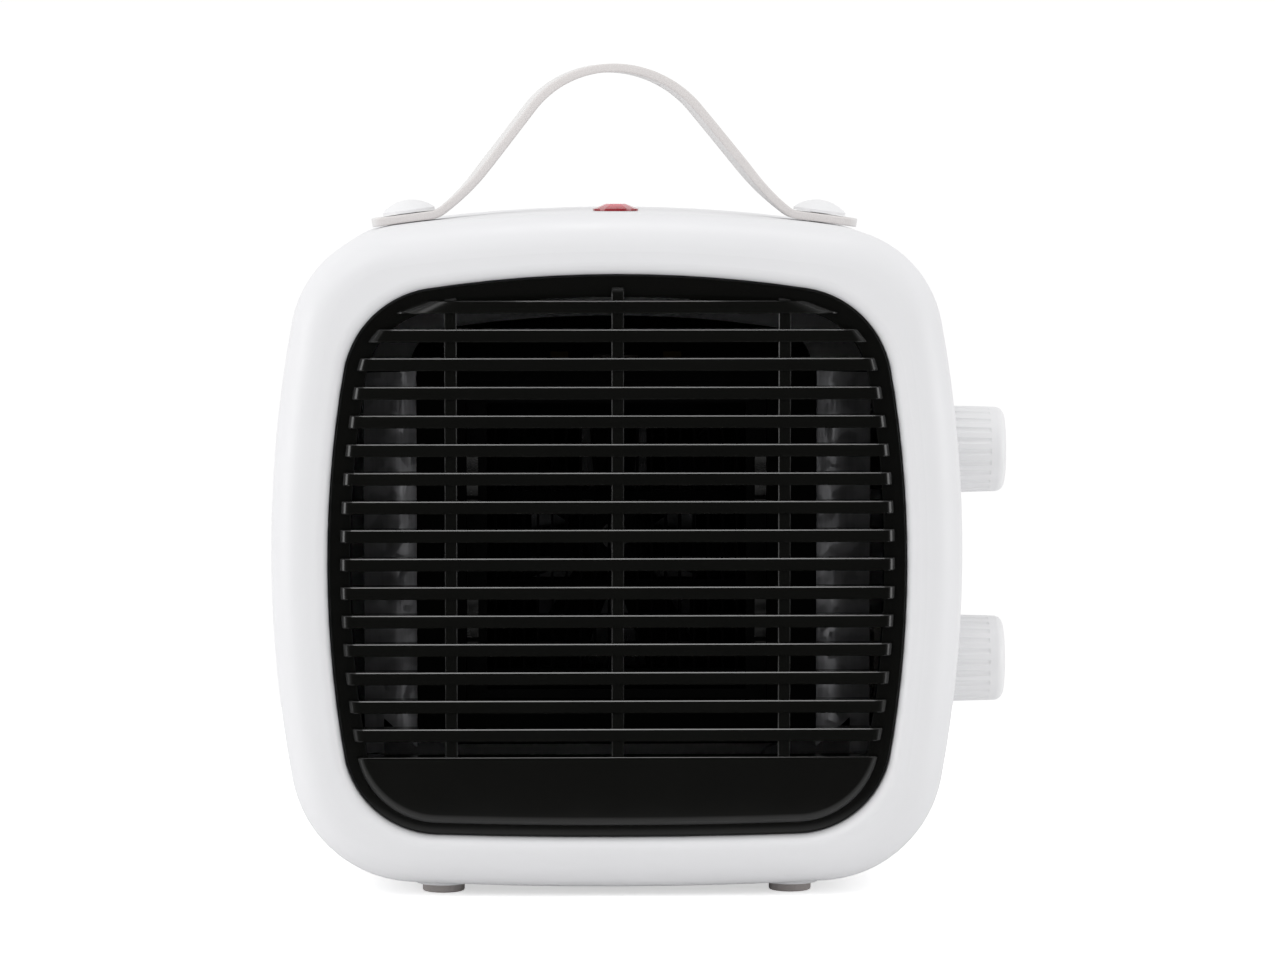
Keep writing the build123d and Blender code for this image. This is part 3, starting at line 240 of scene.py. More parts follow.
def new_group(name, kind, inputs, outputs):
    """Node group with named sockets. Returns its graph, what it is given and its output node."""
    tree = bpy.data.node_groups.new(name, kind)
    for in_out, sockets in (("INPUT", inputs), ("OUTPUT", outputs)):
        for socket_name, socket_type, *default in sockets:
            made = tree.interface.new_socket(socket_name, in_out=in_out, socket_type="NodeSocket" + socket_type)
            if default:
                made.default_value = default[0]
    graph = Graph(tree)
    return graph, graph.node("NodeGroupInput").outputs, graph.node("NodeGroupOutput")


def finished_tree(graph, result, geometry, finish):
    """Ends a geometry tree: copies made real, with their finish."""
    loose = graph.out("GeometryNodeRealizeInstances", {"Geometry": geometry})
    graph.feed(result, {
        "Geometry": graph.out("GeometryNodeSetMaterial", {"Geometry": loose, "Material": finish})})
    return graph.tree


# Effects that several finishes share


def tone_drift():
    """Slow change of tone over a surface, as moulded, rolled and cast pieces have."""
    graph, given, result = new_group(
        "Tone drift", "ShaderNodeTree",
        [("Tone", "Color", (0.8, 0.8, 0.8, 1)), ("Amount", "Float", 0.03), ("Size", "Float", 0.03)],
        [("Color", "Color")],
    )
    wave = graph.noise(graph.place(), graph.math("DIVIDE", 1.0, given["Size"]), 3.0)
    low = graph.math("SUBTRACT", 1.0, given["Amount"])
    level = graph.spread(wave, low, 1.0, 0.3, 0.7)
    grey = graph.out("ShaderNodeCombineColor", {0: level, 1: level, 2: level})
    shaded = graph.node("ShaderNodeMix", {0: 1.0, 6: given["Tone"], 7: grey},
                        data_type="RGBA", blend_type="MULTIPLY")
    graph.feed(result, {"Color": shaded.outputs[2]})


def moulded_grain():
    """Fine spark-eroded texture of a moulding tool, with slow gloss changes."""
    graph, given, result = new_group(
        "Moulded grain", "ShaderNodeTree",
        [("Grain size", "Float", 0.0006), ("Gloss patch size", "Float", 0.02)],
        [("Height", "Float"), ("Gloss", "Float")],
    )
    place = graph.place()
    fine = graph.noise(place, graph.math("DIVIDE", 1.0, given["Grain size"]), 2.0)
    broad = graph.noise(place, graph.math("DIVIDE", 0.2, given["Grain size"]), 1.0)
    height = graph.math("MULTIPLY_ADD", broad, 0.6, fine)
    gloss = graph.noise(place, graph.math("DIVIDE", 1.0, given["Gloss patch size"]), 4.0, 0.6)
    graph.feed(result, {"Height": height, "Gloss": gloss})


def rolled_streaks():
    """Long fine streaks along one direction, with crystal patches in the gloss, as rolled and coated metal has."""
    graph, given, result = new_group(
        "Rolled streaks", "ShaderNodeTree",
        [("Stretch", "Vector", (1.0, 1.0, 1.0)), ("Streak size", "Float", 0.0004)],
        [("Height", "Float"), ("Gloss", "Float")],
    )
    place = graph.place()
    stretched = graph.out("ShaderNodeVectorMath", {0: place, 1: given["Stretch"]}, operation="MULTIPLY")
    streak = graph.noise(stretched, graph.math("DIVIDE", 1.0, given["Streak size"]), 3.0, 0.6)
    spangle = graph.node("ShaderNodeTexVoronoi", {"Vector": place, "Scale": 260.0}).outputs["Color"]
    tone = graph.out("ShaderNodeSeparateColor", {0: spangle})
    gloss = graph.math("MULTIPLY_ADD", tone, 0.35, graph.math("MULTIPLY", streak, 0.65))
    graph.feed(result, {"Height": streak, "Gloss": gloss})


def settled_dust():
    """Thin dust on faces that look up."""
    graph, given, result = new_group(
        "Settled dust", "ShaderNodeTree", [("Amount", "Float", 0.1)], [("Mask", "Float")])
    up = graph.split(graph.node("ShaderNodeNewGeometry").outputs["Normal"])[2]
    level = graph.spread(up, 0.0, 1.0, 0.5, 1.0)
    specks = graph.spread(graph.noise(graph.place(), 900.0, 4.0, 0.7), 0.2, 1.0, 0.35, 0.75)
    mask = graph.math("MULTIPLY", graph.math("MULTIPLY", level, specks), given["Amount"])
    graph.feed(result, {"Mask": mask})


# Finishes


def new_finish(name):
    """Material with its shader. Returns its graph and the shader."""
    material = bpy.data.materials.new(name)
    material.use_nodes = True
    material.node_tree.nodes.clear()
    graph = Graph(material.node_tree)
    shader = graph.node("ShaderNodeBsdfPrincipled")
    graph.node("ShaderNodeOutputMaterial", {"Surface": shader.outputs[0]})
    return graph, shader


def effect(graph, name, **inputs):
    """Node of a shared effect."""
    named = {key.replace("_", " ").capitalize(): value for key, value in inputs.items()}
    return graph.node("ShaderNodeGroup", named, node_tree=bpy.data.node_groups[name]).outputs


def rgba(tone, share=1.0):
    """Colour with its alpha, darkened to a share."""
    return (tone[0] * share, tone[1] * share, tone[2] * share, 1.0)


def bump(graph, height, distance):
    return graph.out("ShaderNodeBump", {"Strength": 1.0, "Distance": distance, "Height": height})


def plastic(name, tone, roughness, drift=0.03, grain_size=0.0006, grain_depth=0.00001, dust=0.0, specular=0.5):
    """Moulded plastic, rubber, ceramic or foam."""
    graph, shader = new_finish(name)
    base = effect(graph, "Tone drift", tone=rgba(tone), amount=drift, size=0.03)[0]
    if dust > 0:
        base = graph.mix(effect(graph, "Settled dust", amount=dust)[0], base, DUST)
    grain = effect(graph, "Moulded grain", grain_size=grain_size)
    graph.feed(shader, {
        "Base Color": base,
        "Roughness": graph.spread(grain["Gloss"], roughness * 0.88, roughness * 1.12, 0.3, 0.7),
        "Specular IOR Level": specular,
        "Normal": bump(graph, grain["Height"], grain_depth),
    })


def metal(name, tone, roughness, stretch=(1, 0.05, 1), streak_size=0.0004, drift=0.12):
    """Sheet, bar or cast metal."""
    graph, shader = new_finish(name)
    streaks = effect(graph, "Rolled streaks", stretch=stretch, streak_size=streak_size)
    graph.feed(shader, {
        "Base Color": effect(graph, "Tone drift", tone=rgba(tone), amount=drift, size=0.012)[0],
        "Roughness": graph.spread(streaks["Gloss"], roughness * 0.75, roughness * 1.3, 0.3, 0.7),
        "Metallic": 1.0,
        "Normal": bump(graph, streaks["Height"], STREAK_DEPTH),
    })


def leather(name, face_tone, edge_tone):
    """Coated leather-look strap: pebbled faces, and cut edges with fibres along them."""
    graph, shader = new_finish(name)
    place = graph.place()
    edge = graph.node("ShaderNodeAttribute", attribute_name="cut_edge").outputs["Fac"]
    face = effect(graph, "Tone drift", tone=rgba(face_tone), amount=0.05, size=0.004)[0]
    fibre_place = graph.out("ShaderNodeMapping", {"Vector": place, "Scale": (1.0, 4.0, 1.0)})
    fibres = graph.noise(fibre_place, 2200.0, 3.0, 0.7)
    cut = graph.mix(graph.spread(fibres, 0.0, 1.0, 0.3, 0.7), rgba(edge_tone), rgba(edge_tone, 0.84))
    pebbles = graph.node("ShaderNodeTexVoronoi", {"Vector": place, "Scale": 1100.0, "Randomness": 1.0},
                         feature="SMOOTH_F1").outputs["Distance"]
    creases = graph.noise(place, 420.0, 3.0, 0.6)
    grain = graph.math("MULTIPLY_ADD", creases, 0.5, pebbles)
    height = graph.blend(edge, grain, fibres)
    graph.feed(shader, {
        "Base Color": graph.mix(edge, face, cut),
        "Roughness": graph.spread(edge, 0.52, 0.85),
        "Normal": bump(graph, height, LEATHER_DEPTH),
    })


def red_lens(name, tone):
    """Clear red plastic with a painted glow of the dim lamp behind it: paler towards its middle, darker towards its
    rim.
    """
    graph, shader = new_finish(name)
    centred = graph.out("ShaderNodeMapping", {
        "Vector": graph.place(), "Location": (-MIDDLE_X, 0.03, 0.0), "Scale": (1.0, 1.0, 0.0)})
    reach = graph.node("ShaderNodeVectorMath", {0: centred}, operation="LENGTH").outputs["Value"]
    # Painted glow: the colour turns from the darkened tone at the rim to a pale tone near the middle
    painted_glow = graph.spread(reach, 1.0, 0.0, 0.001, 0.0075)
    pale = (min(1.0, tone[0] * 1.5), tone[1] * 5 + 0.06, tone[2] * 4 + 0.06)
    grain = effect(graph, "Moulded grain", grain_size=0.0012)
    graph.feed(shader, {
        "Base Color": graph.mix(painted_glow, rgba(tone, 0.55), rgba(pale)),
        "Roughness": graph.spread(grain["Gloss"], 0.06, 0.14, 0.3, 0.7),
        "Coat Weight": 0.5,
        "Subsurface Weight": 0.25,
        "Subsurface Radius": (0.004, 0.0006, 0.0006),
        "Normal": bump(graph, grain["Height"], 0.00001),
    })


def banded(name, tone, axis, scale, distortion, drift, drift_size, dark, roughness, metallic, depth):
    """Bands side by side: turns of enamelled wire, or stamped sheets seen on their edges, with painted shade between
    them, where the dark share darkens the tone.
    """
    graph, shader = new_finish(name)
    bands = graph.node("ShaderNodeTexWave", {
        "Vector": graph.place(), "Scale": scale, "Distortion": distortion, "Detail": 1.0},
        bands_direction=axis).outputs["Fac"]
    base = effect(graph, "Tone drift", tone=rgba(tone), amount=drift, size=drift_size)[0]
    graph.feed(shader, {
        # Painted shade: where the bands run low, the colour is the tone darkened to the dark share
        "Base Color": graph.mix(bands, rgba(tone, dark), base),
        "Roughness": graph.spread(bands, *roughness),
        "Metallic": metallic,
        "Normal": bump(graph, bands, depth),
    })


def make_finishes(tones):
    """Every finish, named like the slot it fills."""
    tone_drift()
    moulded_grain()
    rolled_streaks()
    settled_dust()
    plastic("housing_white", tones.shell, 0.42, drift=0.012, grain_size=0.0005, grain_depth=0.000006)
    plastic("intake_white", tones.shell, 0.45, drift=0.02, grain_size=0.0005, grain_depth=0.000008)
    plastic("cap_white", tones.knob, 0.34, drift=0.02, grain_size=0.0009, grain_depth=0.000004)
    plastic("knob_white", tones.knob, 0.38, drift=0.015, grain_size=0.0005, grain_depth=0.000006)
    plastic("grille_black", tones.grille, 0.17, drift=0.2, grain_size=0.0008, grain_depth=0.000002)
    plastic("duct_black", (0.003, 0.003, 0.0028), 0.55, drift=0.2, grain_depth=0.00002, specular=0.15)
    plastic("control_plastic", (0.05, 0.05, 0.052), 0.45, drift=0.1, dust=0.05)
    plastic("fan_grey", (0.02, 0.02, 0.021), 0.42, drift=0.08, dust=0.01)
    plastic("filter_foam", (0.01, 0.01, 0.0105), 0.95, drift=0.3, grain_size=0.0011, grain_depth=0.0006)
    plastic("lamp_white", (0.78, 0.77, 0.74), 0.4)
    plastic("gland_rubber", (0.55, 0.55, 0.56), 0.62, drift=0.06, grain_size=0.0004, grain_depth=0.00003)
    plastic("foot_rubber", tones.foot, 0.7, drift=0.07, grain_size=0.0004, grain_depth=0.00003)
    plastic("ceramic_white", (0.68, 0.66, 0.61), 0.55, drift=0.08, grain_size=0.0004, grain_depth=0.00002)
    plastic("ceramic_dark", (0.05, 0.04, 0.035), 0.4, drift=0.15, grain_size=0.0004, grain_depth=0.00002)
    plastic("frame_black", (0.005, 0.005, 0.005), 0.6, drift=0.15, grain_depth=0.00002, specular=0.2)
    metal("steel_zinc", tones.steel, 0.34, stretch=(1, 1, 0.06))
    metal("steel_bright", (0.62, 0.62, 0.61), 0.22, stretch=(0.06, 1, 1))
    metal("aluminium_plain", (0.66, 0.66, 0.67), 0.38, stretch=(1, 1, 0.05))
    metal("element_dark", (0.02, 0.02, 0.021), 0.5, stretch=(0.05, 1, 1), drift=0.3)
    metal("brass_plain", (0.2, 0.15, 0.07), 0.5, stretch=(1, 0.06, 1))
    metal("reflector_metal", (0.26, 0.26, 0.27), 0.5, stretch=(1, 1, 0.05), streak_size=0.0008)
    leather("strap_leather", tones.strap_face, tones.strap_edge)
    red_lens("lamp_red", tones.lamp)
    # dark is the share of the tone left in the painted shade between the turns and between the sheets
    banded("coil_copper", tones.copper, axis="X", scale=620.0, distortion=0.6, drift=0.25, drift_size=0.004,
           dark=0.35, roughness=(0.5, 0.28), metallic=0.8, depth=0.0002)
    banded("stator_steel", (0.34, 0.34, 0.35), axis="Y", scale=480.0, distortion=0.0, drift=0.2, drift_size=0.006,
           dark=0.6, roughness=(0.6, 0.42), metallic=0.9, depth=0.00008)


def finish_nodes(*nodes):
    """Gives CAD pieces the finishes that their slots name."""
    for node in nodes:
        for slot in NODES[node].material_slots:
            slot_name = slot.material.name.split(".")[0]
            slot.link = "OBJECT"
            slot.material = FINISHES[slot_name]


def linked(name, data):
    """Object in the scene for a mesh, a lamp or a camera."""
    made = bpy.data.objects.new(name, data)
    bpy.context.scene.collection.objects.link(made)
    return made


def new_piece(name, mesh, slot_name, replaced=()):
    """Object for a finished mesh, with its finish, its body and the CAD pieces it stands for."""
    piece = linked(name, mesh)
    mesh.materials.clear()
    mesh.materials.append(FINISHES[slot_name])
    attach(piece, BODY)
    if replaced:
        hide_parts(*replaced)


def shade(mesh, angle=SHARP_EDGE):
    """Smooth shading apart from edges that turn by more than the angle."""
    mesh.polygons.foreach_set("use_smooth", [True] * len(mesh.polygons))
    mesh.set_sharp_from_angle(angle=angle)


# Outlines


def outline_arcs(shape):
    """Arcs of the right half, from the middle of the bottom to the middle of the top."""
    side = Vector((shape.half_width - shape.side_radius, shape.widest))
    top = Vector((0, shape.top - shape.top_radius))
    bottom = Vector((0, shape.bottom + shape.bottom_radius))

    def corner_centre(end, end_radius, corner):
        """Centre of the arc that rounds the corner between the side and another arc."""
        side_reach, reach = shape.side_radius - corner, end_radius - corner
        across = end - side
        apart = across.length
        along = (side_reach**2 - reach**2 + apart**2) / (2 * apart)
        off = math.sqrt(side_reach**2 - along**2)
        normal = Vector((-across.y, across.x)) / apart
        found = [side + across * (along / apart) + normal * off * sign for sign in (1, -1)]
        return max(found, key=lambda place: place.x)

    def angle(start, end):
        return math.atan2(end.y - start.y, end.x - start.x)

    low = corner_centre(bottom, shape.bottom_radius, shape.bottom_corner)
    high = corner_centre(top, shape.top_radius, shape.top_corner)
    low_turn, low_rise = angle(bottom, low), angle(side, low)
    high_rise, high_turn = angle(side, high), angle(top, high)
    return [
        (bottom, shape.bottom_radius, -math.pi / 2, low_turn, 14),
        (low, shape.bottom_corner, low_turn, low_rise, 20),
        (side, shape.side_radius, low_rise, high_rise, 30),
        (high, shape.top_corner, high_rise, high_turn, 20),
        (top, shape.top_radius, high_turn, math.pi / 2, 14),
    ]


def outline_loop(shape, inset):
    """Points round the outline, moved in by inset. The same number for every inset."""
    right = []
    for centre, radius, start, end, steps in outline_arcs(shape):
        for step in range(steps):
            turn = start + (end - start) * step / steps
            right.append((centre.x + (radius - inset) * math.cos(turn), centre.y + (radius - inset) * math.sin(turn)))
    right.append((0.0, shape.top - inset))
    left = [(-x, z) for x, z in reversed(right[1:-1])]
    return right + left


def join_rings(bm, first, second):
    """Band of faces between two closed rings of equal length."""
    for i in range(len(first)):
        j = (i + 1) % len(first)
        bm.faces.new((first[i], first[j], second[j], second[i]))


def mesh_from(bm, name):
    """Mesh of what was built, with its faces outward."""
    bmesh.ops.recalc_face_normals(bm, faces=bm.faces)
    mesh = bpy.data.meshes.new(name)
    bm.to_mesh(mesh)
    bm.free()
    return mesh


def loops_to_mesh(name, loops, closed=False):
    """Joins loops of equal length by faces. Open stacks get a face at each end."""
    bm = bmesh.new()
    rings = [[bm.verts.new(point) for point in loop] for loop in loops]
    for first, second in zip(rings, rings[1:]):
        join_rings(bm, first, second)
    if closed:
        join_rings(bm, rings[-1], rings[0])
    else:
        bm.faces.new(rings[0])
        bm.faces.new(rings[-1])
    return mesh_from(bm, name)


def outline_stack(name, shape, profile, closed=False):
    """Solid whose edge runs round an outline. The profile lists inset and depth pairs."""
    loops = [[(MIDDLE_X + x, y, z) for x, z in outline_loop(shape, inset)] for inset, y in profile]
    return loops_to_mesh(name, loops, closed)


def pad_mesh(name, shape, front, end_radius, back, steps=9):
    """Raised pad inside the window with a rounded edge."""
    profile = []
    for step in range(steps + 1):
        turn = math.pi / 2 * step / steps
        inset = shape.pad_inset + end_radius * (1 - math.sin(turn))
        profile.append((inset, front + end_radius * (1 - math.cos(turn))))
    profile.append((shape.pad_inset, back))
    return outline_stack(name, shape, profile)


# Bars across the pad: slats and ribs

# Stations along a bar, and where its end faces lie before it is placed, past the pad's edge at 1
BAR_STATIONS = 96
BAR_END = 1.1
# Share of a bar's half length where its end reads the pad's depth, just inside the pad's edge
BAR_READING = 0.9996


def bar_form(name, height, chamfer):
    """One bar before it is placed: X runs from -1 to 1 along it, Y is the depth and Z the height off its middle."""
    half = height / 2
    far = 1.0
    section = [(0, chamfer - half), (0, half - chamfer), (chamfer, half), (far, half), (far, -half), (chamfer, -half)]
    places = [-BAR_END] + [2 * i / BAR_STATIONS - 1 for i in range(BAR_STATIONS + 1)] + [BAR_END]
    loops = [[(x, y, z) for y, z in section] for x in places]
    return loops_to_mesh(name, loops)


def bars_tree():
    """Node tree that lays bars side by side on a pad and lets their fronts and ends follow it."""
    graph, given, result = new_group(
        "Bars across the pad", "GeometryNodeTree",
        [
            ("Geometry", "Geometry"), ("Bar", "Object"), ("Pad", "Object"), ("Count", "Int", 16),
            ("First", "Float"), ("Pitch", "Float"), ("Back depth", "Float"), ("Seat depth", "Float"),
            ("Middle", "Float"), ("Upright", "Bool"), ("Finish", "Material"),
        ],
        [("Geometry", "Geometry")],
    )
    bar = graph.node("GeometryNodeObjectInfo", {"Object": given["Bar"]}).outputs["Geometry"]
    pad = graph.node("GeometryNodeObjectInfo", {"Object": given["Pad"]}).outputs["Geometry"]
    row = graph.out("GeometryNodeMeshLine", {"Count": given["Count"], "Offset": (0.0, 0.0, 0.0)})
    placed = graph.out("GeometryNodeInstanceOnPoints", {"Points": row, "Instance": bar})
    index = graph.out("GeometryNodeInputIndex")
    counted = graph.out("GeometryNodeStoreNamedAttribute", {"Geometry": placed, "Name": "bar", "Value": index},
                        data_type="FLOAT", domain="INSTANCE")
    bars = graph.out("GeometryNodeRealizeInstances", {"Geometry": counted})
    number = graph.node("GeometryNodeInputNamedAttribute", {"Name": "bar"}, data_type="FLOAT").outputs["Attribute"]
    along, depth, off = graph.split(graph.out("GeometryNodeInputPosition"))
    step = graph.math("MULTIPLY", number, given["Pitch"])
    stack = graph.math("ADD", graph.math("SUBTRACT", given["First"], step), off)

    def pick(flat, upright, kind="VECTOR"):
        inputs = {"Switch": given["Upright"], "False": flat, "True": upright}
        return graph.out("GeometryNodeSwitch", inputs, input_type=kind)

    def place(run, y, cross):
        """Point from its run along the bar, its depth and its place across the bars."""
        level_run = graph.math("ADD", run, given["Middle"])
        cross_x = graph.math("ADD", cross, given["Middle"])
        return pick(graph.combine(level_run, y, cross), graph.combine(cross_x, y, run))

    def ray(start, direction):
        """Where a ray meets the pad."""
        inputs = {"Target Geometry": pad, "Source Position": start, "Ray Direction": direction, "Ray Length": 3.0}
        return graph.split(graph.node("GeometryNodeRaycast", inputs).outputs["Hit Position"])

    def bar_end(sign):
        """How far along the bar the pad's edge lies."""
        hit = ray(place(sign, given["Seat depth"], stack), pick(graph.combine(x=-sign), graph.combine(z=-sign)))
        return pick(graph.math("SUBTRACT", hit[0], given["Middle"]), hit[2], "FLOAT")

    high, low = bar_end(1.0), bar_end(-1.0)
    middle = graph.math("MULTIPLY", graph.math("ADD", high, low), 0.5)
    reach = graph.math("MULTIPLY", graph.math("SUBTRACT", high, low), 0.5)
    turn = graph.math("MULTIPLY", graph.math("MINIMUM", graph.math("MAXIMUM", along, -1.0), 1.0), math.pi / 2)
    share = graph.math("SINE", turn)
    run = graph.math("MULTIPLY_ADD", reach, share, middle)
    inner = graph.math("MULTIPLY_ADD", reach, graph.math("MULTIPLY", share, BAR_READING), middle)
    front = graph.math("ADD", ray(place(inner, -1.0, stack), (0.0, 1.0, 0.0))[1], depth)
    is_back = graph.math("GREATER_THAN", depth, 0.5)
    body_depth = graph.blend(is_back, front, given["Back depth"])
    is_end = graph.math("GREATER_THAN", graph.math("ABSOLUTE", along), (1 + BAR_END) / 2)
    final_depth = graph.blend(is_end, body_depth, given["Seat depth"])
    moved = graph.out("GeometryNodeSetPosition", {"Geometry": bars, "Position": place(run, final_depth, stack)})
    merged = graph.out("GeometryNodeMergeByDistance", {"Geometry": moved, "Distance": 1e-6})
    outward = graph.out("GeometryNodeFlipFaces", {"Mesh": merged, "Selection": given["Upright"]})
    smooth = graph.out("GeometryNodeSetShadeSmooth", {"Geometry": outward}, domain="FACE")
    bend = graph.out("GeometryNodeInputMeshEdgeAngle")
    sharp = graph.out("FunctionNodeCompare", {0: bend, 1: SHARP_EDGE}, data_type="FLOAT", operation="LESS_THAN")
    edged = graph.out("GeometryNodeSetShadeSmooth", {"Geometry": smooth, "Shade Smooth": sharp}, domain="EDGE")
    return finished_tree(graph, result, edged, given["Finish"])


def grown(name, tree, values, mesh=None):
    """Plain mesh that a node tree makes from its named inputs."""
    carrier = linked(name, mesh or bpy.data.meshes.new(name))
    modifier = carrier.modifiers.new(name, "NODES")
    modifier.node_group = tree
    for item in tree.interface.items_tree:
        if item.in_out == "INPUT" and item.name in values:
            modifier[item.identifier] = values[item.name]
    carrier.update_tag()
    bpy.context.view_layer.update()
    graph = bpy.context.evaluated_depsgraph_get()
    made = bpy.data.meshes.new_from_object(carrier.evaluated_get(graph))
    made.name = name
    bpy.data.objects.remove(carrier)
    if not made.polygons:
        raise RuntimeError(f"{name} has no faces")
    return made


# Screws

SCREW_HEAD_RADIUS = 0.0029
SCREW_HEAD_HEIGHT = 0.002
SCREW_RADIUS = 0.0015
THREAD_PITCH = 0.001
SCREW_SIDES = 24


def zip_rings(bm, outer, inner):
    """Faces between two closed rings whose counts differ, both in order of angle."""
    def angle(vert):
        return math.atan2(vert.co.y, vert.co.x) % math.tau

    outer, inner = sorted(outer, key=angle), sorted(inner, key=angle)
    outer_ends, inner_ends = ([angle(vert) for vert in ring[1:] + ring[:1]] for ring in (outer, inner))
    outer_ends[-1] += math.tau
    inner_ends[-1] += math.tau
    i = j = 0
    while i < len(outer) or j < len(inner):
        first, second = outer[i % len(outer)], inner[j % len(inner)]
        if j >= len(inner) or (i < len(outer) and outer_ends[i] <= inner_ends[j]):
            bm.faces.new((first, outer[(i + 1) % len(outer)], second))
            i += 1
        else:
            bm.faces.new((first, inner[(j + 1) % len(inner)], second))
            j += 1


def screw_form(shank):
    """Pan-head screw with a cross recess and a shank of a given length: its seat is at the origin, its head up."""
    wide, high, core, pitch = SCREW_HEAD_RADIUS, SCREW_HEAD_HEIGHT, SCREW_RADIUS, THREAD_PITCH
    profile = [(core * 0.2, -shank), (core * 0.8, -shank + 0.0008)]
    for i in range(int((shank - 0.002) / pitch)):
        start = -shank + 0.001 + i * pitch
        profile += [(core * 0.8, start), (core * 0.98, start + pitch * 0.45), (core * 0.98, start + pitch * 0.55)]
    profile += [(core * 0.95, -0.0006), (core * 0.95, 0.0)]
    profile += [(wide * r, high * z) for r, z in (
        (0.96, 0.0), (1.0, 0.06), (1.0, 0.42), (0.94, 0.66), (0.8, 0.86), (0.62, 0.97))]
    bm = bmesh.new()

    def ring(corners, z):
        """Corners turned about the screw's axis, as a ring at a height."""
        return [bm.verts.new((x * math.cos(a) - y * math.sin(a), x * math.sin(a) + y * math.cos(a), z))
                for x, y, a in corners]

    def cross(share, z):
        corners = ((share * arm, -slot), (share * arm, slot), (slot, slot))
        return ring([(x, y, math.pi / 2 * quarter) for quarter in range(4) for x, y in corners], z)

    rings = [ring([(radius, 0.0, math.tau * i / SCREW_SIDES) for i in range(SCREW_SIDES)], z) for radius, z in profile]
    for first, second in zip(rings, rings[1:]):
        join_rings(bm, first, second)
    bm.faces.new(list(reversed(rings[0])))
    arm, slot = wide * 0.5, wide * 0.13
    mouth, floor = cross(1.0, high), cross(0.55, high * 0.4)
    zip_rings(bm, rings[-1], mouth)
    join_rings(bm, mouth, floor)
    bm.faces.new(floor)
    mesh = mesh_from(bm, "screw")
    shade(mesh)
    return mesh


def screw_places(node):
    """Seat, direction and shank length of each screw of a CAD node, read from its mesh."""
    bm = bmesh.new()
    bm.from_mesh(NODES[node].data)
    bmesh.ops.remove_doubles(bm, verts=bm.verts, dist=1e-6)
    left, places = list(bm.verts), []
    while left:
        screw, added = set(), {left[0]}
        while added:
            screw |= added
            added = {edge.other_vert(vert) for vert in added for edge in vert.link_edges} - screw
        left = [vert for vert in left if vert not in screw]
        points = np.array([vert.co for vert in screw])
        middle = points.mean(axis=0)
        low, high = points.min(axis=0), points.max(axis=0)
        rough = np.zeros(3)
        rough[np.argmax(high - low)] = 1.0
        spread = (points - middle) @ rough
        ends = [points[spread > spread.max() - 0.0004], points[spread < spread.min() + 0.0004]]
        widths = [np.linalg.norm(end - end.mean(axis=0), axis=1).max() for end in ends]
        head, tip = (ends[0], ends[1]) if widths[0] > widths[1] else (ends[1], ends[0])
        head_middle = (head.min(axis=0) + head.max(axis=0)) / 2
        tip_middle = (tip.min(axis=0) + tip.max(axis=0)) / 2
        axis = Vector(head_middle - tip_middle)
        total = axis.length
        axis.normalize()
        places.append((Vector(head_middle) - axis * SCREW_HEAD_HEIGHT, axis, total - SCREW_HEAD_HEIGHT))
    bm.free()
    places.sort(key=lambda item: tuple(round(value, 5) for value in item[0]))
    return places


def copies_tree():
    """Node tree that sets a copy of a form on each point, turned to the point's direction."""
    graph, given, result = new_group(
        "Copies on points", "GeometryNodeTree",
        [("Geometry", "Geometry"), ("Form", "Object"), ("Finish", "Material")],
        [("Geometry", "Geometry")],
    )
    form = graph.node("GeometryNodeObjectInfo", {"Object": given["Form"]}).outputs["Geometry"]
    axis = graph.out("GeometryNodeInputNamedAttribute", {"Name": "axis"}, data_type="FLOAT_VECTOR")
    turn = graph.out("FunctionNodeAlignRotationToVector", {"Vector": axis}, axis="Z")
    inputs = {"Points": given["Geometry"], "Instance": form, "Rotation": turn}
    placed = graph.out("GeometryNodeInstanceOnPoints", inputs)
    return finished_tree(graph, result, placed, given["Finish"])


def points_mesh(name, places):
    """Loose points that carry a direction each."""
    mesh = bpy.data.meshes.new(name)
    mesh.from_pydata([tuple(seat) for seat, _ in places], [], [])
    attribute = mesh.attributes.new("axis", "FLOAT_VECTOR", "POINT")
    attribute.data.foreach_set("vector", [value for _, axis in places for value in axis])
    return mesh


# Strap


def arc_points(start, heading, radius, turn, steps):
    """Points along an arc from a start, with the heading at its end. A positive turn is to the left."""
    side = 1 if turn > 0 else -1
    centre = start + Vector((-math.sin(heading), math.cos(heading))) * radius * side
    points = []
    for step in range(1, steps + 1):
        angle = heading + turn * step / steps - side * math.pi / 2
        points.append(centre + Vector((math.cos(angle), math.sin(angle))) * radius)
    return points, heading + turn


def strap_line(strap):
    """Middle line of the strap's right half, from the top to the end, as distance from the middle and height."""
    clear = strap.gap + strap.thickness / 2
    run_radius = strap.shell_radius + clear
    lift_angle = math.asin(strap.lift_x / strap.shell_radius)
    lift_x = math.sin(lift_angle) * run_radius
    foot, rise = strap.foot_angle, strap.rise_angle
    bends = (strap.foot_bend * (math.sin(foot) - math.sin(lift_angle))
             + strap.limb_bend * (math.sin(rise) - math.sin(foot)) + strap.top_bend * math.sin(rise))
    straight = (lift_x - bends) / math.cos(rise)
    points = [Vector((0.0, STRAP_TOP - strap.thickness / 2))]
    heading = 0.0

    def bend(radius, turn, steps):
        nonlocal heading
        made, heading = arc_points(points[-1], heading, radius, turn, steps)
        points.extend(made)

    bend(strap.top_bend, -rise, 40)
    run = Vector((math.cos(heading), math.sin(heading))) * straight
    start = points[-1]
    points += [start + run * step / 14 for step in range(1, 15)]
    bend(strap.limb_bend, rise - foot, 16)
    bend(strap.foot_bend, foot - lift_angle, 12)
    bend(run_radius, lift_angle - math.asin(strap.corner_x / (strap.shell_radius - strap.corner_radius)), 8)
    tail_radius = strap.corner_radius + clear
    bend(tail_radius, -(strap.end_x - points[-1].x) / tail_radius * 1.04, 12)
    return points


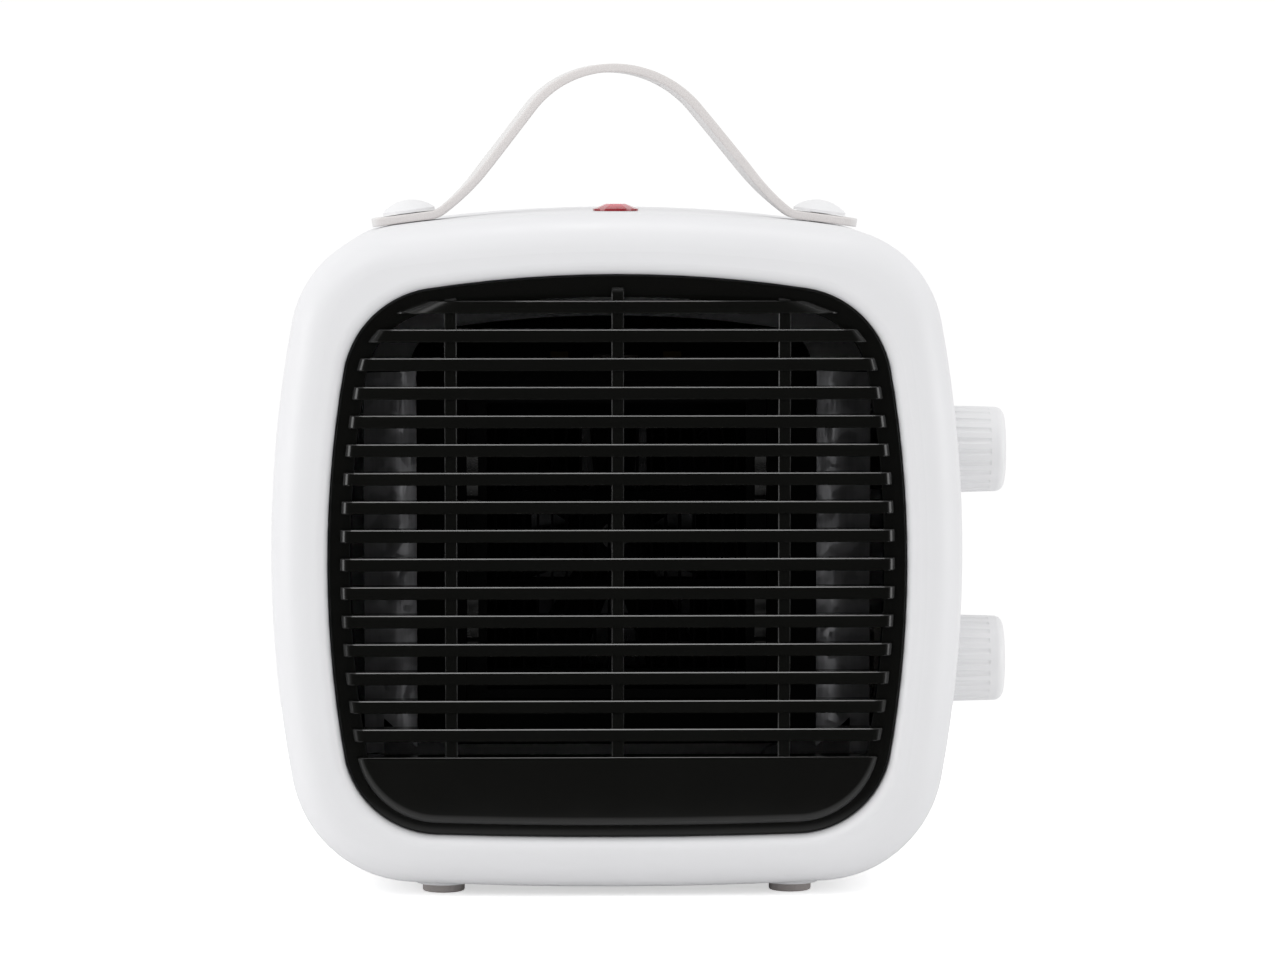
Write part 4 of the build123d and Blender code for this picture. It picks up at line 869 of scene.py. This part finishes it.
def strap_section(strap, squeeze, steps=5, spans=8):
    """Section of the strap: across its width and through its thickness, with rounded edges and flat faces."""
    half_width = strap.width / 2 * squeeze
    half_thick = strap.thickness / 2
    radius = min(strap.edge_radius, half_thick * 0.9)
    points = []
    for side, up, start in ((1, 1, 0), (-1, 1, 90), (-1, -1, 180), (1, -1, 270)):
        for step in range(steps + 1):
            turn = math.radians(start + 90 * step / steps)
            points.append((side * (half_width - radius) + radius * math.cos(turn),
                           up * (half_thick - radius) + radius * math.sin(turn)))
        if start in (0, 180):
            shares = [side * (1 - 2 * step / spans) for step in range(1, spans)]
            points += [(share * (half_width - radius), up * half_thick) for share in shares]
    return points


def strap_mesh(strap):
    """Leather-look strap that follows its line, a little narrower at its rounded tails."""
    half = strap_line(strap)
    line = [Vector((-p.x, p.y)) for p in reversed(half[1:])] + half
    low, high = min(p.y for p in line), max(p.y for p in line)
    lengths = [0.0]
    for first, second in zip(line, line[1:]):
        lengths.append(lengths[-1] + (second - first).length)
    loops = []
    for i, point in enumerate(line):
        before, after = line[max(i - 1, 0)], line[min(i + 1, len(line) - 1)]
        heading = (after - before).normalized()
        normal = Vector((-heading.y, heading.x))
        from_end = min(lengths[i], lengths[-1] - lengths[i])
        cut = max(0.0, 1 - from_end / strap.tail)
        squeeze = 1 - strap.narrowing * (1 - math.sqrt(max(0.0, 1 - cut**2)))
        rise = max(0.0, (point.y - low) / (high - low))
        lean = -strap.lean * rise**2
        twist = -math.sin(strap.twist) * math.sin(min(1.0, rise * 2.5) * math.pi / 2) ** 2
        loop = []
        for across, through in strap_section(strap, squeeze):
            place = point + normal * through
            loop.append((MIDDLE_X + place.x + lean + twist * across, across, place.y))
        loops.append(loop)
    mesh = loops_to_mesh("strap", loops)
    edge_start = strap.width / 2 - strap.edge_radius * 1.4
    values = [1.0 if abs(v.co.y) > edge_start else 0.0 for v in mesh.vertices]
    attribute = mesh.attributes.new("cut_edge", "FLOAT", "POINT")
    attribute.data.foreach_set("value", values)
    shade(mesh, math.radians(40))
    return mesh


# Operators, one for each piece or group of like pieces


class HeaterStep:
    """What the steps share."""
    bl_options = {"REGISTER"}

    @property
    def settings(self):
        return bpy.context.scene.fan_heater


class FinishStep(HeaterStep):
    """A step that only gives CAD pieces their finish."""
    nodes = ()

    def execute(self, context):
        finish_nodes(*self.nodes)
        return {"FINISHED"}


class HEATER_OT_finishes(HeaterStep, bpy.types.Operator):
    """Make every finish of the heater"""
    bl_idname = "heater.finishes"
    bl_label = "Finishes"

    def execute(self, context):
        before = set(bpy.data.materials)
        make_finishes(self.settings.colours)
        for material in set(bpy.data.materials) - before:
            FINISHES[material.name.split(".")[0]] = material
        return {"FINISHED"}


class HEATER_OT_shell(HeaterStep, bpy.types.Operator):
    """Finish the two halves of the shell and the rear intake"""
    bl_idname = "heater.shell"
    bl_label = "Shell"

    def execute(self, context):
        finish_nodes("front_shell", "rear_shell", "rear_grille", "intake_filter", "cord_gland")
        self.close_gland(self.settings)
        return {"FINISHED"}

    def close_gland(self, sizes):
        """Thin rubber web across the gland's inner end, which a cord pierces."""
        low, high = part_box("cord_gland")
        middle_x, middle_z, radius = (low.x + high.x) / 2, (low.z + high.z) / 2, sizes.gland_bore
        start = low.y + sizes.web_depth
        turns = [math.tau * i / 32 for i in range(32)]
        loops = [[(middle_x + radius * math.cos(a), y, middle_z + radius * math.sin(a)) for a in turns]
                 for y in (start, start + sizes.web_thickness)]
        new_piece("gland_web", loops_to_mesh("gland_web", loops), "gland_rubber")


class HEATER_OT_grille(HeaterStep, bpy.types.Operator):
    """Make the black grille: ring, slats, ribs, apron and the posts behind"""
    bl_idname = "heater.grille"
    bl_label = "Grille"

    def execute(self, context):
        sizes = self.settings.grille
        ring_y = FRONT_Y + sizes.ring_setback
        pad_y = FRONT_Y + sizes.pad_setback
        back_y = FRONT_Y + sizes.back
        self.make_ring(sizes, ring_y, back_y)
        pad = linked("pad", pad_mesh("pad", sizes, pad_y, sizes.end_radius, back_y))
        rib_pad = linked("rib_pad", pad_mesh("rib_pad", sizes, pad_y + sizes.rib_setback, sizes.rib_end, back_y))
        slat = linked("slat", bar_form("slat", sizes.slat_height, sizes.chamfer))
        rib = linked("rib", bar_form("rib", sizes.rib_width, sizes.chamfer))
        tree = bars_tree()
        first_slat = sizes.top - sizes.slat_drop - sizes.slat_height / 2
        for name, bar, seat, count, first, pitch, back, upright in (
                ("grille_slats", slat, pad, sizes.slat_count, first_slat, sizes.slat_pitch, back_y, False),
                ("grille_ribs", rib, rib_pad, 3, sizes.rib_spacing, sizes.rib_spacing, back_y - 0.0002, True)):
            values = {"Bar": bar, "Pad": seat, "Count": count, "First": first, "Pitch": pitch, "Back depth": back,
                      "Seat depth": ring_y + sizes.seat, "Middle": MIDDLE_X, "Upright": upright,
                      "Finish": FINISHES["grille_black"]}
            new_piece(name, grown(name, tree, values), "grille_black")
        self.make_apron(sizes, pad)
        for helper in (pad, rib_pad, slat, rib):
            bpy.data.objects.remove(helper)
        return {"FINISHED"}

    def make_ring(self, sizes, ring_y, back_y):
        edge, gap, inner = sizes.ring_edge, sizes.gap, sizes.opening_inset
        flange_y = back_y + sizes.flange
        profile = [(gap + edge * (1 - math.sin(a)), ring_y + edge * (1 - math.cos(a)))
                   for a in (math.pi / 2, math.pi / 3, math.pi / 6, 0)]
        profile += [(inner - 0.0003, ring_y), (inner - 0.0001, ring_y + 0.0001), (inner, ring_y + 0.0003),
                    (inner, flange_y), (-sizes.flange, flange_y), (-sizes.flange, back_y), (gap, back_y)]
        mesh = outline_stack("grille_ring", sizes, profile, closed=True)
        self.add_back(mesh, flange_y)
        shade(mesh)
        new_piece("grille_ring", mesh, "grille_black", ["front_grille"])

    def cut_off(self, bm, place, normal, **cleared):
        """Cuts a mesh at a plane, clears one side and gives the edges of the cut."""
        geometry = bm.verts[:] + bm.edges[:] + bm.faces[:]
        cut = bmesh.ops.bisect_plane(bm, geom=geometry, plane_co=place, plane_no=normal, **cleared)
        return [item for item in cut["geom_cut"] if isinstance(item, bmesh.types.BMEdge)]

    def add_back(self, mesh, flange_y):
        """Adds the posts and screw bosses behind the ring's flange, from a copy of the CAD grille."""
        bm = bmesh.new()
        bm.from_mesh(NODES["front_grille"].data)
        bmesh.ops.remove_doubles(bm, verts=bm.verts, dist=1e-6)
        rim = self.cut_off(bm, (0, flange_y + 0.00002, 0), (0, 1, 0), clear_inner=True)
        bmesh.ops.triangle_fill(bm, edges=rim, use_beauty=True)
        bmesh.ops.recalc_face_normals(bm, faces=bm.faces)
        bm.from_mesh(mesh)
        bm.to_mesh(mesh)
        bm.free()

    def make_apron(self, sizes, pad):
        top = sizes.top - sizes.slat_drop - sizes.slat_count * sizes.slat_pitch
        bm = bmesh.new()
        bm.from_mesh(pad.data)
        bmesh.ops.contextual_create(bm, geom=self.cut_off(bm, (0, 0, top), (0, 0, 1), clear_outer=True))
        back = pad.data.vertices[0].co.y
        front_edges = [e for e in bm.edges if all(abs(v.co.z - top) < 1e-6 for v in e.verts)
                       and min(v.co.y for v in e.verts) < back + sizes.end_radius and len(e.link_faces) == 2]
        bmesh.ops.bevel(bm, geom=front_edges, offset=sizes.chamfer, segments=1, affect="EDGES")
        mesh = mesh_from(bm, "grille_apron")
        shade(mesh)
        new_piece("grille_apron", mesh, "grille_black")


class HEATER_OT_strap(HeaterStep, bpy.types.Operator):
    """Make the strap and finish its caps and the plates under them"""
    bl_idname = "heater.strap"
    bl_label = "Strap"

    def execute(self, context):
        new_piece("strap", strap_mesh(self.settings.strap), "strap_leather", ["strap_handle"])
        finish_nodes("strap_cap_left", "strap_cap_right", "strap_plate_left", "strap_plate_right")
        return {"FINISHED"}


class HEATER_OT_lamp(FinishStep, bpy.types.Operator):
    """Finish the signal lamp"""
    bl_idname = "heater.lamp"
    bl_label = "Signal lamp"
    nodes = ("lamp_lens", "lamp_body", "lamp_nut")


class HEATER_OT_controls(FinishStep, bpy.types.Operator):
    """Finish the two knobs, their shafts and what they turn"""
    bl_idname = "heater.controls"
    bl_label = "Controls"
    nodes = ("function_knob", "function_shaft", "thermostat_knob", "thermostat_shaft", "selector_switch",
             "thermostat", "control_bracket", "terminal_block")


class HEATER_OT_warm_air(FinishStep, bpy.types.Operator):
    """Finish the heating element, the duct, the reflectors, the fan and its motor"""
    bl_idname = "heater.warm_air"
    bl_label = "Heater and fan"
    nodes = ("side_reflector_left", "side_reflector_right", "air_duct", "heater_frame", "heater_bars", "heater_fins",
             "heater_clips", "heater_terminals", "thermal_cutout", "thermal_fuse", "fan_wheel", "fan_nut",
             "motor_bracket", "motor_stator", "motor_coil", "motor_end_plate", "motor_bearings", "motor_rotor",
             "motor_shaft")


class HEATER_OT_feet(FinishStep, bpy.types.Operator):
    """Finish the four feet"""
    bl_idname = "heater.feet"
    bl_label = "Feet"
    nodes = ("foot_front_left", "foot_front_right", "foot_rear_left", "foot_rear_right")


class HEATER_OT_screws(HeaterStep, bpy.types.Operator):
    """Make every screw, with its cross recess and thread, where the CAD has it"""
    bl_idname = "heater.screws"
    bl_label = "Screws"

    def execute(self, context):
        tree = copies_tree()
        for node in ("shell_screws", "foot_screws", "grille_screws", "duct_screws", "control_screws",
                     "strap_screws", "motor_screws"):
            places = screw_places(node)
            form = linked("screw", screw_form(places[0][2]))
            points = points_mesh("points", [(seat, axis) for seat, axis, _ in places])
            mesh = grown(node + "_detailed", tree, {"Form": form, "Finish": FINISHES["steel_zinc"]}, points)
            new_piece(node + "_detailed", mesh, "steel_zinc", [node])
            bpy.data.objects.remove(form)
        return {"FINISHED"}


class HEATER_OT_stage(HeaterStep, bpy.types.Operator):
    """Set up the camera, the lamps, the pale floor and the backdrop"""
    bl_idname = "heater.stage"
    bl_label = "Stage"

    def execute(self, context):
        self.add_camera()
        self.add_floor()
        self.add_world()
        for lamp in LAMPS:
            self.add_lamp(*lamp)
        return {"FINISHED"}

    def add_camera(self):
        camera = bpy.data.cameras.new("camera")
        seen = self.aimed("camera", camera, CAMERA_PLACE, CAMERA_AIM)
        camera.sensor_width = 36.0
        camera.lens = camera.sensor_width * (CAMERA_AIM - CAMERA_PLACE).length / PICTURE_WIDTH
        camera.clip_start = 0.05
        camera.clip_end = 60.0
        bpy.context.scene.camera = seen

    def aimed(self, name, data, place, target):
        """Object at a place, turned to a target."""
        made = linked(name, data)
        made.location = place
        made.rotation_mode = "QUATERNION"
        made.rotation_quaternion = (target - made.location).to_track_quat("-Z", "Y")
        return made

    def add_floor(self):
        bm = bmesh.new()
        bmesh.ops.create_circle(bm, cap_ends=True, segments=96, radius=FLOOR_RADIUS)
        floor = linked("floor", mesh_from(bm, "floor"))
        graph, shader = new_finish("floor_white")
        path = graph.node("ShaderNodeLightPath").outputs
        pale, dark = (0.92, 0.92, 0.92, 1.0), (0.03, 0.03, 0.03, 1.0)
        depth = graph.split(graph.place())[1]
        mirrored = graph.mix(graph.spread(depth, 0.0, 1.0, -0.2, -0.1), dark, pale)
        graph.feed(shader, {
            "Base Color": graph.mix(path["Is Glossy Ray"], pale, mirrored),
            "Roughness": 0.9,
            "Emission Color": PURE_WHITE,
            "Emission Strength": graph.math("MULTIPLY", path["Is Camera Ray"], FLOOR_LIGHT),
        })
        floor.data.materials.append(bpy.data.materials["floor_white"])

    def add_world(self):
        world = bpy.data.worlds.new("studio")
        bpy.context.scene.world = world
        world.use_nodes = True
        world.node_tree.nodes.clear()
        graph = Graph(world.node_tree)
        path = graph.node("ShaderNodeLightPath").outputs
        direction = graph.split(graph.node("ShaderNodeTexCoord").outputs["Generated"])
        behind = graph.spread(direction[1], 0.04, 1.0, -0.85, 0.1)
        mirrored = graph.math("MAXIMUM", path["Is Glossy Ray"], path["Is Transmission Ray"])
        plain = graph.blend(mirrored, PLAIN_LIGHT, behind)
        level = graph.blend(path["Is Camera Ray"], plain, BACKDROP_LIGHT)
        light = graph.out("ShaderNodeBackground", {"Color": PURE_WHITE, "Strength": level})
        graph.node("ShaderNodeOutputWorld", {"Surface": light})
        bpy.context.scene.view_settings.view_transform = "Standard"

    def add_lamp(self, name, place, size, power):
        light = bpy.data.lights.new(name, "AREA")
        light.shape = "DISK"
        light.size = size
        light.energy = power
        self.aimed(name, light, place, LAMP_AIM)


class HEATER_PT_panel(bpy.types.Panel):
    """Steps that make the heater"""
    bl_idname = "HEATER_PT_panel"
    bl_label = "Fan heater"
    bl_space_type = "VIEW_3D"
    bl_region_type = "UI"
    bl_category = "Fan heater"

    def draw(self, context):
        for step in STEPS:
            self.layout.operator(step.bl_idname)


GROUPS = (GrilleSizes, StrapSizes, HeaterColours, HeaterSettings)
STEPS = (
    HEATER_OT_finishes,
    HEATER_OT_stage,
    HEATER_OT_shell,
    HEATER_OT_grille,
    HEATER_OT_strap,
    HEATER_OT_lamp,
    HEATER_OT_controls,
    HEATER_OT_warm_air,
    HEATER_OT_feet,
    HEATER_OT_screws,
)
CLASSES = GROUPS + STEPS + (HEATER_PT_panel,)


def register():
    for item in CLASSES:
        bpy.utils.register_class(item)
    bpy.types.Scene.fan_heater = PointerProperty(type=HeaterSettings)


def unregister():
    del bpy.types.Scene.fan_heater
    for item in reversed(CLASSES):
        bpy.utils.unregister_class(item)


def main():
    register()
    for step in STEPS:
        group, name = step.bl_idname.split(".")
        getattr(getattr(bpy.ops, group), name)()


if __name__ == "__main__":
    main()
